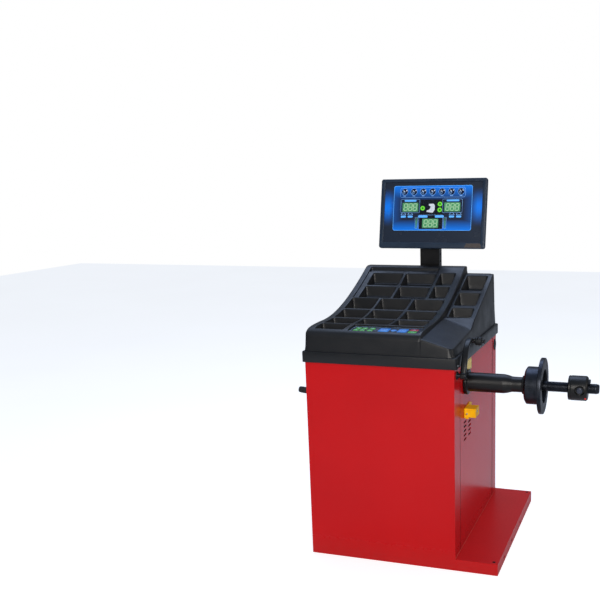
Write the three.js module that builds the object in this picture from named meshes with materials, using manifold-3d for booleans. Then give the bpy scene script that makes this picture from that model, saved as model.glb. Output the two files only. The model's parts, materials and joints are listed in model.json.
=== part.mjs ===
// Wheel balancer: sheet steel cabinet on an inverted-tray base, moulded weight tray,
// belt driven spindle with flange and quick nut, distance gauge and tilting display.
// Working axes: X to the right along the spindle, Y towards the back, Z up, in millimetres.
// The corner x = 0, y = 0, z = 0 is the cabinet's front left foot. The last lines move
// the whole machine so that its origin is the middle of its footprint.

import * as THREE from 'three';
import { mergeVertices } from 'three/addons/utils/BufferGeometryUtils.js';
import Module from 'manifold-3d';

const wasm = await Module();
wasm.setup();

// ---------------------------------------------------------------- driving dimensions

const GAP = 0.3; // clearance between pieces that touch
const SHEET = 2; // sheet steel thickness

const CABINET_W = 557;
const CABINET_D = 702;
const CABINET_H = 742;
const BASE_W = 711;
const BASE_D = 725;
const BASE_H = 43.5;
const BASE_LIP = 20; // inward lip that the base stands on
const FRONT_RETURN = 79; // side flanges of the front and rear panels
const REAR_RETURN = 71;
const ANCHOR_R = 6;
const ANCHOR_INSET = 17;

const SPINDLE_Y = 162;
const SPINDLE_Z = 662;
const SHAFT_R = 18;
const SHAFT_END = 1030;
const TUBE_R = 34.5;
const NECK_R = 27.2;
const FLANGE_R = 99.6;
const FLANGE_FACE = 842;
const NUT_R = 43.4;
const NUT_LEFT = 926;
const NUT_RIGHT = 992;

const BRACKET_X = [400, 520];
const BRACKET_HALF = 62; // half side of the square spindle bracket
const BRACKET_WINDOW = 50; // half side of its window
const COLUMN_X = [420, 500];

const MOTOR_Y = 430;
const MOTOR_Z = 470;
const MOTOR_R = 55;
const BELT_X = [278, 296];
const BELT_T = 3;
const PULLEY_X = [275, 299];
const SPINDLE_PULLEY_R = 70;
const MOTOR_PULLEY_R = 20;
const ENCODER_R = 48;
const ENCODER_SLOTS = 12;

const GAUGE_Y = 32;
const GAUGE_Z = 714;
const GAUGE_ROD_R = 8;
const GAUGE_HUB_R = 12;
const GAUGE_HOME = 262; // inner end of the rod at rest
const GAUGE_ARM_X = [571, 589];
const RAIL_DROP = 36; // guide rail below the gauge rod

const TRAY_X = [3, 437]; // main bank of compartments
const TRAY_SKIRT = 9.5; // skirt overhang beyond the cabinet
const TRAY_SKIRT_TOP = 782;
const TRAY_BACK = 698;
const COLUMN_BANK_X = [437, 553]; // side bank of compartments
const POCKET_TAPER = 7;

const MONITOR_W = 456;
const MONITOR_H = 290;
const MONITOR_T = 34;
const MONITOR_CENTRE = [291.7, 675, 1240];
const MONITOR_LEAN = THREE.MathUtils.degToRad(12);
const HINGE_DEPTH = 48; // hinge axis behind the screen face
const HINGE_X = 280;
const POST_X = [227.7, 311.7];
const POST_Y = [708, 748];
const POST_Z = [600, 1190];

const KEYPAD_CENTRE = [292, 63, 858];
const KEYPAD_SIZE = [262, 78];
const KEYPAD_TILT = THREE.MathUtils.degToRad(4.2);
const KEYPAD_T = 3;
const KEY_CLEARANCE = 0.4;

const VENT_SIZE = [38, 7]; // along Y and Z
const VENT_COLUMNS = [154, 224];
const VENT_TOP = 512;
const VENT_PITCH = 16.3;
const VENT_ROWS = 5;

const PEG_Y = [190, 340, 490];
const PEG_Z = 572;
const PEG_LENGTH = 118;
const PEG_R = 12.5;
const PEG_TILT = THREE.MathUtils.degToRad(6);

const INLET_X = 120;
const INLET_Z = 165;

const REAR_HOLE = [675, 696]; // Y and Z of the plugged hole near the rear top corner
const REAR_HOLE_R = 20.5;
const BASE_SLOTS_Y = [118, 272, 451]; // slots in the base's right edge
const BASE_SLOT = [20, 9]; // along Y and Z
const BASE_SLOT_Z = 16.5;
const STOP_FLANGE = [[139, 530], [196, 530], [242, 545], [242, 562], [225, 570], [139, 566]]; // Y and Z
const STOP_BOX = [[560, 599.5], [141, 195], [533.5, 566]];

// Middle line of the gauge's arm in the YZ plane, from the rod: up from the hub and back to the head.
const ARM_PATH = [[2, 6], [14, 38], [30, 66], [50, 90], [76, 104], [106, 108], [133, 101]];
const GAUGE_EYE = [133, 100];
const GAUGE_HEAD = [133, 98];
const RAIL_R = 6;

const BUTTON_X = 967; // the nut's release button
const BUTTON_R = 10.6;

const BOARD_X = [200, 380];
const BOARD_Z = [380, 560];
// Each block on the board: its left and bottom edges, its width and its height.
const BOARD_BLOCKS = [[215, 400, 60, 40], [300, 400, 60, 30], [220, 470, 40, 60], [290, 460, 70, 50]];

// ---------------------------------------------------------------- materials

function finish(color, roughness, metalness) {
  return new THREE.MeshStandardMaterial({ color, roughness, metalness });
}

const redEnamel = finish(0xc01414, 0.25, 0.1);
const blackAbs = finish(0x2c2f35, 0.5, 0);
const blackEnamel = finish(0x15161a, 0.35, 0.2);
const blackSteel = finish(0x1c1e22, 0.35, 0.7);
const brightSteel = finish(0xb9bcc0, 0.3, 0.9);
const castIron = finish(0x4a4c50, 0.6, 0.6);
const zincSteel = finish(0xa7abb0, 0.4, 0.8);
const yellowEnamel = finish(0xf5b400, 0.4, 0.1);
const navyPlastic = finish(0x14264a, 0.4, 0);
const screenBlue = finish(0x1b4fa8, 0.2, 0);
const greenKey = finish(0x4fae45, 0.5, 0);
const blueKey = finish(0x2f7fe0, 0.5, 0);
const redKey = finish(0xb92a3c, 0.5, 0);
const beltRubber = finish(0x111111, 0.8, 0);
const boardGreen = finish(0x1f6a3c, 0.5, 0);
const nylon = finish(0x222222, 0.6, 0);
const ceramic = finish(0xd8d2c2, 0.5, 0);

// ---------------------------------------------------------------- geometry helpers

// Welds shared corners, drops zero-area triangles and turns the faces outward.
function closed(geometry) {
  const bare = geometry.clone();
  bare.deleteAttribute('normal');
  bare.deleteAttribute('uv');
  const welded = mergeVertices(bare, 1e-4);
  const source = welded.index.array;
  const points = welded.attributes.position;
  const a = new THREE.Vector3();
  const b = new THREE.Vector3();
  const c = new THREE.Vector3();
  const kept = [];
  let volume = 0;
  for (let i = 0; i < source.length; i += 3) {
    const [p, q, r] = [source[i], source[i + 1], source[i + 2]];
    if (p === q || q === r || r === p) {
      continue;
    }
    a.fromBufferAttribute(points, p);
    b.fromBufferAttribute(points, q);
    c.fromBufferAttribute(points, r);
    volume += a.dot(b.cross(c));
    kept.push(p, q, r);
  }
  if (volume < 0) {
    kept.reverse();
  }
  welded.setIndex(kept);
  return welded;
}

function toSolid(geometry) {
  const mesh = closed(geometry);
  return new wasm.Manifold(new wasm.Mesh({
    numProp: 3,
    vertProperties: new Float32Array(mesh.attributes.position.array),
    triVerts: new Uint32Array(mesh.index.array),
  }));
}

function toGeometry(solid) {
  const mesh = solid.getMesh();
  const geometry = new THREE.BufferGeometry();
  geometry.setAttribute('position', new THREE.BufferAttribute(Float32Array.from(mesh.vertProperties), 3));
  geometry.setIndex(new THREE.BufferAttribute(Uint32Array.from(mesh.triVerts), 1));
  return geometry;
}

// One body: every geometry in `added` joined, then every one in `removed` taken away.
function body(added, removed = []) {
  let solid = toSolid(added[0]);
  for (const geometry of added.slice(1)) {
    solid = solid.add(toSolid(geometry));
  }
  for (const geometry of removed) {
    solid = solid.subtract(toSolid(geometry));
  }
  return toGeometry(solid);
}

// Box between two limits on each axis.
function block(x, y, z) {
  const geometry = new THREE.BoxGeometry(x[1] - x[0], y[1] - y[0], z[1] - z[0]);
  return geometry.translate((x[0] + x[1]) / 2, (y[0] + y[1]) / 2, (z[0] + z[1]) / 2);
}

// Box whose eight corners are placed by corner(sx, sy, sz), each sign -1 or 1.
function warpedBlock(corner) {
  const geometry = new THREE.BoxGeometry(2, 2, 2);
  const points = geometry.attributes.position;
  for (let i = 0; i < points.count; i += 1) {
    points.setXYZ(i, ...corner(points.getX(i), points.getY(i), points.getZ(i)));
  }
  return geometry;
}

const AXIS_TURN = {
  X: new THREE.Matrix4().makeRotationZ(-Math.PI / 2),
  Y: new THREE.Matrix4(),
  Z: new THREE.Matrix4().makeRotationX(Math.PI / 2),
};

// Cylinder along an axis from one station to the other, centred on the two other coordinates.
function cylinder(axis, radius, from, to, centre = [0, 0], sides = 32) {
  const geometry = new THREE.CylinderGeometry(radius, radius, to - from, sides);
  geometry.applyMatrix4(AXIS_TURN[axis]);
  const middle = (from + to) / 2;
  const place = {
    X: [middle, centre[0], centre[1]],
    Y: [centre[0], middle, centre[1]],
    Z: [centre[0], centre[1], middle],
  }[axis];
  return geometry.translate(...place);
}

// Turned piece about the X axis: the profile is a list of [x, radius].
function turned(profile, sides = 32) {
  const points = profile.map(([x, radius]) => new THREE.Vector2(radius, x));
  return closed(new THREE.LatheGeometry(points, sides).applyMatrix4(AXIS_TURN.X));
}

// Plain ring about the X axis.
function ring(x, inner, outer, sides = 24) {
  return turned([[x[0], inner], [x[0], outer], [x[1], outer], [x[1], inner], [x[0], inner]], sides);
}

function outline(points) {
  return new THREE.Shape(points.map(([u, v]) => new THREE.Vector2(u, v)));
}

const CYCLE_TO_X = new THREE.Matrix4().makeBasis(
  new THREE.Vector3(0, 1, 0),
  new THREE.Vector3(0, 0, 1),
  new THREE.Vector3(1, 0, 0),
);

// Prism along X of an outline given as [y, z] points or a Shape.
function prismX(shape, x) {
  const section = shape instanceof THREE.Shape ? shape : outline(shape);
  const geometry = new THREE.ExtrudeGeometry(section, { depth: x[1] - x[0], bevelEnabled: false });
  return geometry.applyMatrix4(CYCLE_TO_X).translate(x[0], 0, 0);
}

// Prism along Z of an outline given as [x, y] points or a Shape.
function prismZ(shape, z) {
  const section = shape instanceof THREE.Shape ? shape : outline(shape);
  const options = { depth: z[1] - z[0], bevelEnabled: false, curveSegments: 5 };
  const geometry = new THREE.ExtrudeGeometry(section, options);
  return geometry.translate(0, 0, z[0]);
}

function roundedRectangle(x, y, radius) {
  const shape = new THREE.Shape();
  shape.moveTo(x[0] + radius, y[0]);
  shape.absarc(x[1] - radius, y[0] + radius, radius, -Math.PI / 2, 0);
  shape.absarc(x[1] - radius, y[1] - radius, radius, 0, Math.PI / 2);
  shape.absarc(x[0] + radius, y[1] - radius, radius, Math.PI / 2, Math.PI);
  shape.absarc(x[0] + radius, y[0] + radius, radius, Math.PI, Math.PI * 1.5);
  return shape;
}

// Prism along Y, standing in the XZ plane, from y[0] at the front to y[1].
function prismY(shape, y) {
  const section = shape instanceof THREE.Shape ? shape : outline(shape);
  const options = { depth: y[1] - y[0], bevelEnabled: false, curveSegments: 5 };
  const geometry = new THREE.ExtrudeGeometry(section, options);
  return geometry.rotateX(Math.PI / 2).translate(0, y[1], 0);
}

function add(parent, name, geometry, material) {
  const mesh = new THREE.Mesh(closed(geometry), material);
  mesh.name = name;
  mesh.geometry.computeVertexNormals();
  parent.add(mesh);
  return mesh;
}

function subgroup(parent, position, tilt = 0) {
  const group = new THREE.Group();
  group.position.set(...position);
  group.rotation.x = tilt;
  parent.add(group);
  return group;
}

const machine = new THREE.Group();

// ---------------------------------------------------------------- cabinet and base

const WALL_FOOT = BASE_H + GAP;
const RIGHT_WALL = [CABINET_W - SHEET, CABINET_W];
const LEFT_WALL = [0, SHEET];

function makeFrontPanel() {
  const face = prismY([
    [0, 0],
    [BASE_W, 0],
    [BASE_W, BASE_H],
    [CABINET_W, BASE_H],
    [CABINET_W, CABINET_H],
    [0, CABINET_H],
  ], [0, SHEET]);
  const depth = [SHEET / 2, FRONT_RETURN];
  const height = [WALL_FOOT, CABINET_H];
  const gaugeHole = cylinder('X', 10.9, RIGHT_WALL[0] - 1, CABINET_W + 1, [GAUGE_Y, GAUGE_Z], 24);
  const sides = [block(RIGHT_WALL, depth, height), block(LEFT_WALL, depth, height)];
  const geometry = body([face, ...sides], [gaugeHole]);
  add(machine, 'front_panel', geometry, redEnamel);
}

function makeSidePanels() {
  const depth = [FRONT_RETURN + 0.5, CABINET_D - REAR_RETURN - 0.5];
  const height = [WALL_FOOT, CABINET_H];
  const pegHoles = PEG_Y.map((y) => cylinder('X', 4.6, -1, SHEET + 1, [y, PEG_Z], 16));
  add(machine, 'left_side_panel', body([block(LEFT_WALL, depth, height)], pegHoles), redEnamel);

  const cuts = [cylinder('X', TUBE_R + 1.5, RIGHT_WALL[0] - 1, CABINET_W + 1, [SPINDLE_Y, SPINDLE_Z])];
  for (const y of VENT_COLUMNS) {
    for (let row = 0; row < VENT_ROWS; row += 1) {
      const z = VENT_TOP - row * VENT_PITCH;
      const alongY = [y - VENT_SIZE[0] / 2, y + VENT_SIZE[0] / 2];
      const alongZ = [z - VENT_SIZE[1] / 2, z + VENT_SIZE[1] / 2];
      cuts.push(block([RIGHT_WALL[0] - 1, CABINET_W + 1], alongY, alongZ));
    }
  }
  add(machine, 'right_side_panel', body([block(RIGHT_WALL, depth, height)], cuts), redEnamel);
}

function makeRearPanel() {
  const height = [WALL_FOOT, CABINET_H];
  const fold = CABINET_D - SHEET;
  const edge = CABINET_D - REAR_RETURN;
  const channel = prismZ([
    [0, edge], [SHEET, edge], [SHEET, fold], [RIGHT_WALL[0], fold], [RIGHT_WALL[0], edge],
    [CABINET_W, edge], [CABINET_W, CABINET_D], [0, CABINET_D],
  ], height);
  const cuts = [
    cylinder('X', REAR_HOLE_R, RIGHT_WALL[0] - 1, CABINET_W + 1, REAR_HOLE, 24),
    block([INLET_X - 27, INLET_X + 27], [CABINET_D - 5, CABINET_D + 1], [INLET_Z - 24, INLET_Z + 24]),
  ];
  add(machine, 'rear_panel', body([channel], cuts), redEnamel);
  const inner = CABINET_W - 11;
  const outer = CABINET_W + 3;
  const face = CABINET_W + GAP;
  const stem = REAR_HOLE_R - 0.5;
  const plug = turned([
    [inner, 0], [inner, stem], [face, stem], [face, stem + 3], [outer, stem + 2], [outer, 0],
  ], 24);
  add(subgroup(machine, [0, ...REAR_HOLE]), 'rear_hole_plug', plug, nylon);
}

function makeBase() {
  const front = SHEET + GAP;
  const outer = block([0, BASE_W], [front, BASE_D], [0, BASE_H]);
  const hollow = block([SHEET, BASE_W - SHEET], [front + SHEET, BASE_D - SHEET], [SHEET, BASE_H - SHEET]);
  const mouth = block(
    [BASE_LIP, BASE_W - BASE_LIP - SHEET],
    [front + BASE_LIP, BASE_D - BASE_LIP],
    [-1, BASE_H / 2],
  );
  const cuts = [hollow, mouth];
  for (const y of [ANCHOR_INSET, BASE_D - ANCHOR_INSET + 3]) {
    cuts.push(cylinder('Z', ANCHOR_R, -1, BASE_H + 1, [BASE_W - ANCHOR_INSET, y], 20));
  }
  const slotZ = [BASE_SLOT_Z - BASE_SLOT[1] / 2, BASE_SLOT_Z + BASE_SLOT[1] / 2];
  for (const y of BASE_SLOTS_Y) {
    cuts.push(block([BASE_W - SHEET - 1, BASE_W + 1], [y - BASE_SLOT[0] / 2, y + BASE_SLOT[0] / 2], slotZ));
  }
  add(machine, 'base_tray', body([outer], cuts), redEnamel);
}

function makeStopBlock() {
  const flange = prismX(STOP_FLANGE, [CABINET_W + GAP, CABINET_W + 4]);
  add(machine, 'side_stop_block', body([flange, block(...STOP_BOX)]), yellowEnamel);
}

function makePegs() {
  PEG_Y.forEach((y, index) => {
    const holder = new THREE.Group();
    holder.position.set(-GAP, y, PEG_Z);
    machine.add(holder);
    const stud = cylinder('X', 4, -2, 14, [0, 0], 16);
    const washer = cylinder('X', 18, -4, 0, [0, 0], 20);
    const shank = turned([
      [-PEG_LENGTH, 0], [-PEG_LENGTH, 9], [-PEG_LENGTH + 3, PEG_R], [0, PEG_R], [0, 0],
    ], 20);
    shank.rotateY(PEG_TILT);
    const trim = block([-0.01, 40], [-30, 30], [-30, 30]);
    const sleeve = body([shank, washer], [trim]);
    add(holder, `cone_peg_${index + 1}`, body([sleeve, stud]), blackAbs);
  });
}

// ---------------------------------------------------------------- weight tray

// Side silhouette of the main bank as [y, z]: front lip, flat stretch, rising curve, back rim.
const railCurve = new THREE.SplineCurve([
  [14, 855], [47, 865], [120, 868.5], [180, 869], [245, 875], [318, 889],
  [395, 911], [475, 940], [542, 968], [611, 999], [642, 1014.5], [664, 1021],
].map(([y, z]) => new THREE.Vector2(y, z)));
const RAIL = railCurve.getPoints(30).map((p) => [p.x, p.y]);
RAIL.push([TRAY_BACK - 3, 1021]);

function railHeight(y) {
  for (let i = 1; i < RAIL.length; i += 1) {
    const [y0, z0] = RAIL[i - 1];
    const [y1, z1] = RAIL[i];
    if (y <= y1) {
      return z0 + (z1 - z0) * Math.max(0, (y - y0) / (y1 - y0));
    }
  }
  return RAIL[RAIL.length - 1][1];
}

const BANK_START = [337, 864]; // front top edge of the side bank, [y, z]
const BANK_SLOPE = 0.387;
const BANK_TOP = 992;

function bankHeight(y) {
  return Math.min(BANK_TOP, BANK_START[1] + BANK_SLOPE * (y - BANK_START[0]));
}

// Compartment: open above the surface, walls drawn in by the taper, floor rising with the surface.
function hopper(x, y, surface, depth, floorRise = 0.45, taper = POCKET_TAPER) {
  const front = surface(y[0]);
  const back = surface(y[1]);
  return warpedBlock((sx, sy, sz) => {
    const draw = sz > 0 ? -taper * 0.15 : taper;
    const px = sx < 0 ? x[0] + draw : x[1] - draw;
    const py = sy < 0 ? y[0] + draw : y[1] - draw;
    const top = sy < 0 ? front + 6 : back + 6;
    const floor = sy < 0 ? front - depth : front - depth + (back - front) * floorRise;
    return [px, py, sz > 0 ? top : floor];
  });
}

const ROWS = [[30, 102], [113, 207], [219, 311], [323, 415]]; // lower rows, front to back
const UPPER_ROWS = [[428, 515], [527, 612]];
const LOWER_COLUMNS = [[30, 141], [153, 277], [290, 412]];
const UPPER_COLUMNS = [[50, 183], [196, 325], [344, 408]];
const BANK_ROWS = [[342, 406], [425, 518], [538, 653]];
const BANK_POCKET_X = [447, 533];

function compartments() {
  const cuts = [];
  ROWS.forEach((y, row) => {
    const columns = row === 0 ? LOWER_COLUMNS.slice(0, 1) : LOWER_COLUMNS;
    const depth = row === 0 ? 34 : 32;
    for (const x of columns) {
      cuts.push(hopper(x, y, railHeight, depth));
    }
  });
  for (const y of UPPER_ROWS) {
    for (const x of UPPER_COLUMNS) {
      cuts.push(hopper(x, y, railHeight, 26));
    }
  }
  for (const y of BANK_ROWS) {
    cuts.push(hopper(BANK_POCKET_X, y, bankHeight, 30));
  }
  // Shallow step around the two upper rows and the ledge behind them.
  cuts.push(hopper([28, 330], [420, 512], railHeight, 5, 1, 1));
  cuts.push(hopper([28, 330], [512, 646], railHeight, 5, 1, 1));
  cuts.push(hopper([30, 328], [622, 644], railHeight, 12, 1, 3));
  return cuts;
}

// Sloping triangular-backed shoulder in front of the side bank.
function shoulder() {
  const top = (x, y) => 847 - 0.2812 * (x - 425) + 0.0725 * (y - 10);
  return warpedBlock((sx, sy, sz) => {
    const x = sx < 0 ? TRAY_X[1] - 10 : COLUMN_BANK_X[1] + 1;
    const y = sy < 0 ? 4 : BANK_START[0] + 2;
    return [x, y, sz > 0 ? top(x, y) : TRAY_SKIRT_TOP - 4];
  });
}

// Steep facet between the shoulder and the side bank's front edge.
function shoulderFacet() {
  const corners = [
    [440, 308, 865], [COLUMN_BANK_X[1], 268, 824], [COLUMN_BANK_X[1], 338, 865], [440, 338, 865],
  ];
  const floor = 800;
  const geometry = prismZ(corners.map(([x, y]) => [x, y]), [floor, floor + 1]);
  const points = geometry.attributes.position;
  for (let i = 0; i < points.count; i += 1) {
    if (points.getZ(i) > floor + 0.5) {
      const near = corners.find(([x, y]) => Math.hypot(x - points.getX(i), y - points.getY(i)) < 0.01);
      points.setZ(i, near[2]);
    }
  }
  return geometry;
}

// Hollow under the moulding, kept below every compartment floor.
function undersides() {
  const ceiling = [
    [5, 812], [110, 818], [213, 826], [310, 838], [417, 858], [517, 890], [612, 930], [692, 990],
  ];
  const main = [[5, 700], ...ceiling, [692, 700]];
  const bank = [[200, 700], [200, 788], [330, 790], [520, 862], [692, 930], [692, 700]];
  return [
    block([-TRAY_SKIRT + 3, CABINET_W + TRAY_SKIRT - 3], [-TRAY_SKIRT + 3, TRAY_BACK + 3], [700, 776]),
    prismX(main, [TRAY_X[0] + 4, TRAY_X[1] - 4]),
    prismX(bank, [TRAY_X[1] - 5, COLUMN_BANK_X[1] - 4]),
    block([TRAY_X[1] - 5, COLUMN_BANK_X[1] - 5], [8, TRAY_BACK - 6], [700, 796]),
  ];
}

function makeTray() {
  const skirtX = [-TRAY_SKIRT, CABINET_W + TRAY_SKIRT];
  const skirtOutline = roundedRectangle(skirtX, [-TRAY_SKIRT, TRAY_BACK + 8], 10);
  const skirt = prismZ(skirtOutline, [CABINET_H + GAP, TRAY_SKIRT_TOP]);
  const mainSection = [
    [-3, TRAY_SKIRT_TOP - 4], [1, 838], ...RAIL, [TRAY_BACK, 1012], [TRAY_BACK, TRAY_SKIRT_TOP - 4],
  ];
  const main = prismX(mainSection, TRAY_X);
  const bankBack = TRAY_BACK - 2;
  const bankSection = [
    [BANK_START[0], TRAY_SKIRT_TOP - 4],
    BANK_START,
    [BANK_START[0] + (BANK_TOP - BANK_START[1]) / BANK_SLOPE, BANK_TOP],
    [bankBack, BANK_TOP],
    [bankBack, TRAY_SKIRT_TOP - 4],
  ];
  const bank = prismX(bankSection, [COLUMN_BANK_X[0] - 2, COLUMN_BANK_X[1]]);
  const [kx, ky, kz] = KEYPAD_CENTRE;
  const keypadCut = block(
    [-KEYPAD_SIZE[0] / 2 - 1, KEYPAD_SIZE[0] / 2 + 1],
    [-KEYPAD_SIZE[1] / 2 - 1, KEYPAD_SIZE[1] / 2 + 1],
    [-KEYPAD_T - GAP, 30],
  );
  keypadCut.rotateX(KEYPAD_TILT).translate(kx, ky, kz);
  const cuts = [...undersides(), ...compartments(), keypadCut];
  add(machine, 'weight_tray', body([skirt, main, bank, shoulder(), shoulderFacet()], cuts), blackAbs);
}

// ---------------------------------------------------------------- keypad

// Each key: name, centre u (right), centre v (away from the front), width, depth, material.
const KEYS = [];
[['a', -108], ['b', -84], ['c', -55]].forEach(([letter, u]) => {
  KEYS.push([`key_green_${letter}1`, u, 12, 20, 17, greenKey]);
  KEYS.push([`key_green_${letter}2`, u - 2, -14, 20, 17, greenKey]);
});
KEYS.push(['key_blue_left', -7, -1, 38, 42, blueKey]);
KEYS.push(['key_blue_round', 29, -1, 0, 22, blueKey]);
KEYS.push(['key_blue_right', 62, -1, 34, 42, blueKey]);
KEYS.push(['key_stop', 102, 12, 30, 17, redKey]);
KEYS.push(['key_start', 102, -14, 30, 20, greenKey]);

function keyShape(key, grow, z) {
  const [, u, v, width, depth] = key;
  if (width === 0) {
    return cylinder('Z', depth / 2 + grow, z[0], z[1], [u, v], 24);
  }
  const halfW = width / 2 + grow;
  const halfD = depth / 2 + grow;
  return block([u - halfW, u + halfW], [v - halfD, v + halfD], z);
}

function makeKeypad() {
  const keypad = subgroup(machine, KEYPAD_CENTRE, KEYPAD_TILT);
  const half = KEYPAD_SIZE.map((size) => size / 2);
  const plate = block([-half[0], half[0]], [-half[1], half[1]], [-KEYPAD_T, 0]);
  const windows = KEYS.map((key) => keyShape(key, KEY_CLEARANCE, [-KEYPAD_T - 1, 1]));
  add(keypad, 'keypad_plate', body([plate], windows), navyPlastic);
  for (const key of KEYS) {
    add(keypad, key[0], keyShape(key, 0, [-KEYPAD_T + 1.3, 1.2]), key[5]);
  }
}

// ---------------------------------------------------------------- spindle

function makeSpindle() {
  const axis = subgroup(machine, [0, SPINDLE_Y, SPINDLE_Z]);
  const rearBore = 30;
  const neckBore = 21.5;
  add(axis, 'spindle_housing', turned([
    [330, rearBore], [330, TUBE_R], [558, TUBE_R], [558, 46], [571, 46], [571, TUBE_R],
    [700, TUBE_R], [726, NECK_R], [765, NECK_R], [765, neckBore], [702, neckBore],
    [702, rearBore], [330, rearBore],
  ]), blackEnamel);
  add(axis, 'bearing_rear', ring([334, 352], SHAFT_R + GAP, rearBore - GAP), brightSteel);
  add(axis, 'bearing_front', ring([682, 700], SHAFT_R + GAP, rearBore - GAP), brightSteel);
  add(axis, 'spindle_seal', ring([765.4, 775.4], SHAFT_R + GAP, 33), nylon);
  add(axis, 'spindle_shaft', turned([
    [240, 0], [240, SHAFT_R - 3], [243, SHAFT_R],
    [SHAFT_END - 4, SHAFT_R], [SHAFT_END, SHAFT_R - 3], [SHAFT_END, 0],
  ]), blackSteel);

  const boreR = SHAFT_R + GAP;
  add(axis, 'wheel_flange', turned([
    [776.2, boreR], [776.2, 57], [782, 66.9], [828, 66.9], [828, 97], [831, FLANGE_R],
    [FLANGE_FACE - 2, FLANGE_R], [FLANGE_FACE, FLANGE_R - 2], [FLANGE_FACE, 60], [803, 60], [799, 56],
    [799, boreR], [776.2, boreR],
  ], 40), blackSteel);

  const rim = SPINDLE_PULLEY_R;
  add(axis, 'spindle_pulley', turned([
    [270, boreR], [270, 28], [PULLEY_X[0] + 6, 28], [PULLEY_X[0] + 6, rim - 8], [PULLEY_X[0], rim - 8],
    [PULLEY_X[0], rim], [PULLEY_X[1], rim], [PULLEY_X[1], 28], [304, 28], [304, boreR], [270, boreR],
  ], 36), zincSteel);

  const slots = [];
  for (let i = 0; i < ENCODER_SLOTS; i += 1) {
    const slot = block([248, 260], [-2, 2], [38, 45]);
    slots.push(slot.rotateX((i * 2 * Math.PI) / ENCODER_SLOTS));
  }
  add(axis, 'encoder_disc', body([ring([252, 254.5], boreR, ENCODER_R)], slots), blackSteel);

  const fork = block([246, 262], [-10, 10], [36, 80]);
  const forkSlot = block([249.5, 257], [-12, 12], [30, ENCODER_R + 4]);
  const arm = block([246, 430], [-10, 10], [76, 80]);
  const leg = block([402, 430], [-10, 10], [BRACKET_HALF + GAP, 78]);
  add(axis, 'encoder_sensor', body([fork, arm, leg], [forkSlot]), boardGreen);
}

function makeSpindleSupport() {
  const axis = subgroup(machine, [0, SPINDLE_Y, SPINDLE_Z]);
  const square = [-BRACKET_HALF, BRACKET_HALF];
  const window = [-BRACKET_WINDOW, BRACKET_WINDOW];
  const opening = block([BRACKET_X[0] - 1, BRACKET_X[1] + 1], window, window);
  const frame = body([block(BRACKET_X, square, square)], [opening]);
  add(axis, 'spindle_bracket', frame, castIron);
  const near = -BRACKET_WINDOW + GAP;
  const far = -TUBE_R - 0.5;
  add(axis, 'force_sensor_vertical', cylinder('Z', 16, near, far, [445, 0], 24), ceramic);
  add(axis, 'force_sensor_horizontal', cylinder('Y', 16, near, far, [485, 0], 24), ceramic);

  const top = SPINDLE_Z - BRACKET_HALF - GAP;
  const y = [SPINDLE_Y - 50, SPINDLE_Y + 50];
  const column = block(COLUMN_X, y, [BASE_H + GAP, top]);
  const inside = block([COLUMN_X[0] + 4, COLUMN_X[1] - 4], [y[0] + 4, y[1] - 4], [0, top + 10]);
  add(machine, 'spindle_column', body([column], [inside]), castIron);
}

// ---------------------------------------------------------------- drive

// Open loop of belt round both pulleys: an outline offset by `reach` from the pulley rims.
function beltOutline(reach) {
  const dy = MOTOR_Y - SPINDLE_Y;
  const dz = MOTOR_Z - SPINDLE_Z;
  const distance = Math.hypot(dy, dz);
  const heading = Math.atan2(dz, dy);
  const wrap = Math.acos((SPINDLE_PULLEY_R - MOTOR_PULLEY_R) / distance);
  const points = [];
  const arc = (centre, radius, from, to, steps) => {
    for (let i = 0; i <= steps; i += 1) {
      const angle = from + ((to - from) * i) / steps;
      points.push([centre[0] + radius * Math.cos(angle), centre[1] + radius * Math.sin(angle)]);
    }
  };
  const bigArc = [heading + wrap, heading + 2 * Math.PI - wrap];
  arc([SPINDLE_Y, SPINDLE_Z], SPINDLE_PULLEY_R + reach, bigArc[0], bigArc[1], 24);
  arc([MOTOR_Y, MOTOR_Z], MOTOR_PULLEY_R + reach, heading - wrap, heading + wrap, 12);
  return points;
}

function makeDrive() {
  const axis = subgroup(machine, [0, MOTOR_Y, MOTOR_Z]);
  const shell = turned([
    [320, 0], [320, 30], [326, 50], [330, MOTOR_R], [446, MOTOR_R], [455, 46], [455, 0],
  ], 32);
  const bore = cylinder('X', 7.4, 310, 362, [0, 0], 24);
  const box = block([355, 420], [-25, 25], [MOTOR_R - 6, MOTOR_R + 18]);
  add(axis, 'motor_body', body([shell, box], [bore]), castIron);
  add(axis, 'motor_rotor', turned([
    [268, 0], [268, 7], [PULLEY_X[0], 7], [PULLEY_X[0], MOTOR_PULLEY_R],
    [PULLEY_X[1], MOTOR_PULLEY_R], [PULLEY_X[1], 7], [358, 7], [358, 0],
  ], 24), zincSteel);

  const loop = outline(beltOutline(0.5 + BELT_T));
  loop.holes.push(new THREE.Path(beltOutline(0.5).map(([u, v]) => new THREE.Vector2(u, v))));
  add(machine, 'drive_belt', prismX(loop, BELT_X), beltRubber);

  const shelfTop = MOTOR_Z - MOTOR_R - GAP;
  const columnBack = SPINDLE_Y + 50 + GAP;
  const shelf = block([330, 500], [columnBack, MOTOR_Y + 50], [shelfTop - 5, shelfTop]);
  const upright = block(COLUMN_X, [columnBack, columnBack + 5], [shelfTop - 90, shelfTop]);
  const rib = prismX([
    [columnBack + 2, shelfTop - 88],
    [MOTOR_Y + 40, shelfTop - 3],
    [columnBack + 2, shelfTop - 3],
  ], [457, 462]);
  add(machine, 'motor_bracket', body([shelf, upright, rib]), castIron);
}

// ---------------------------------------------------------------- distance gauge

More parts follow.
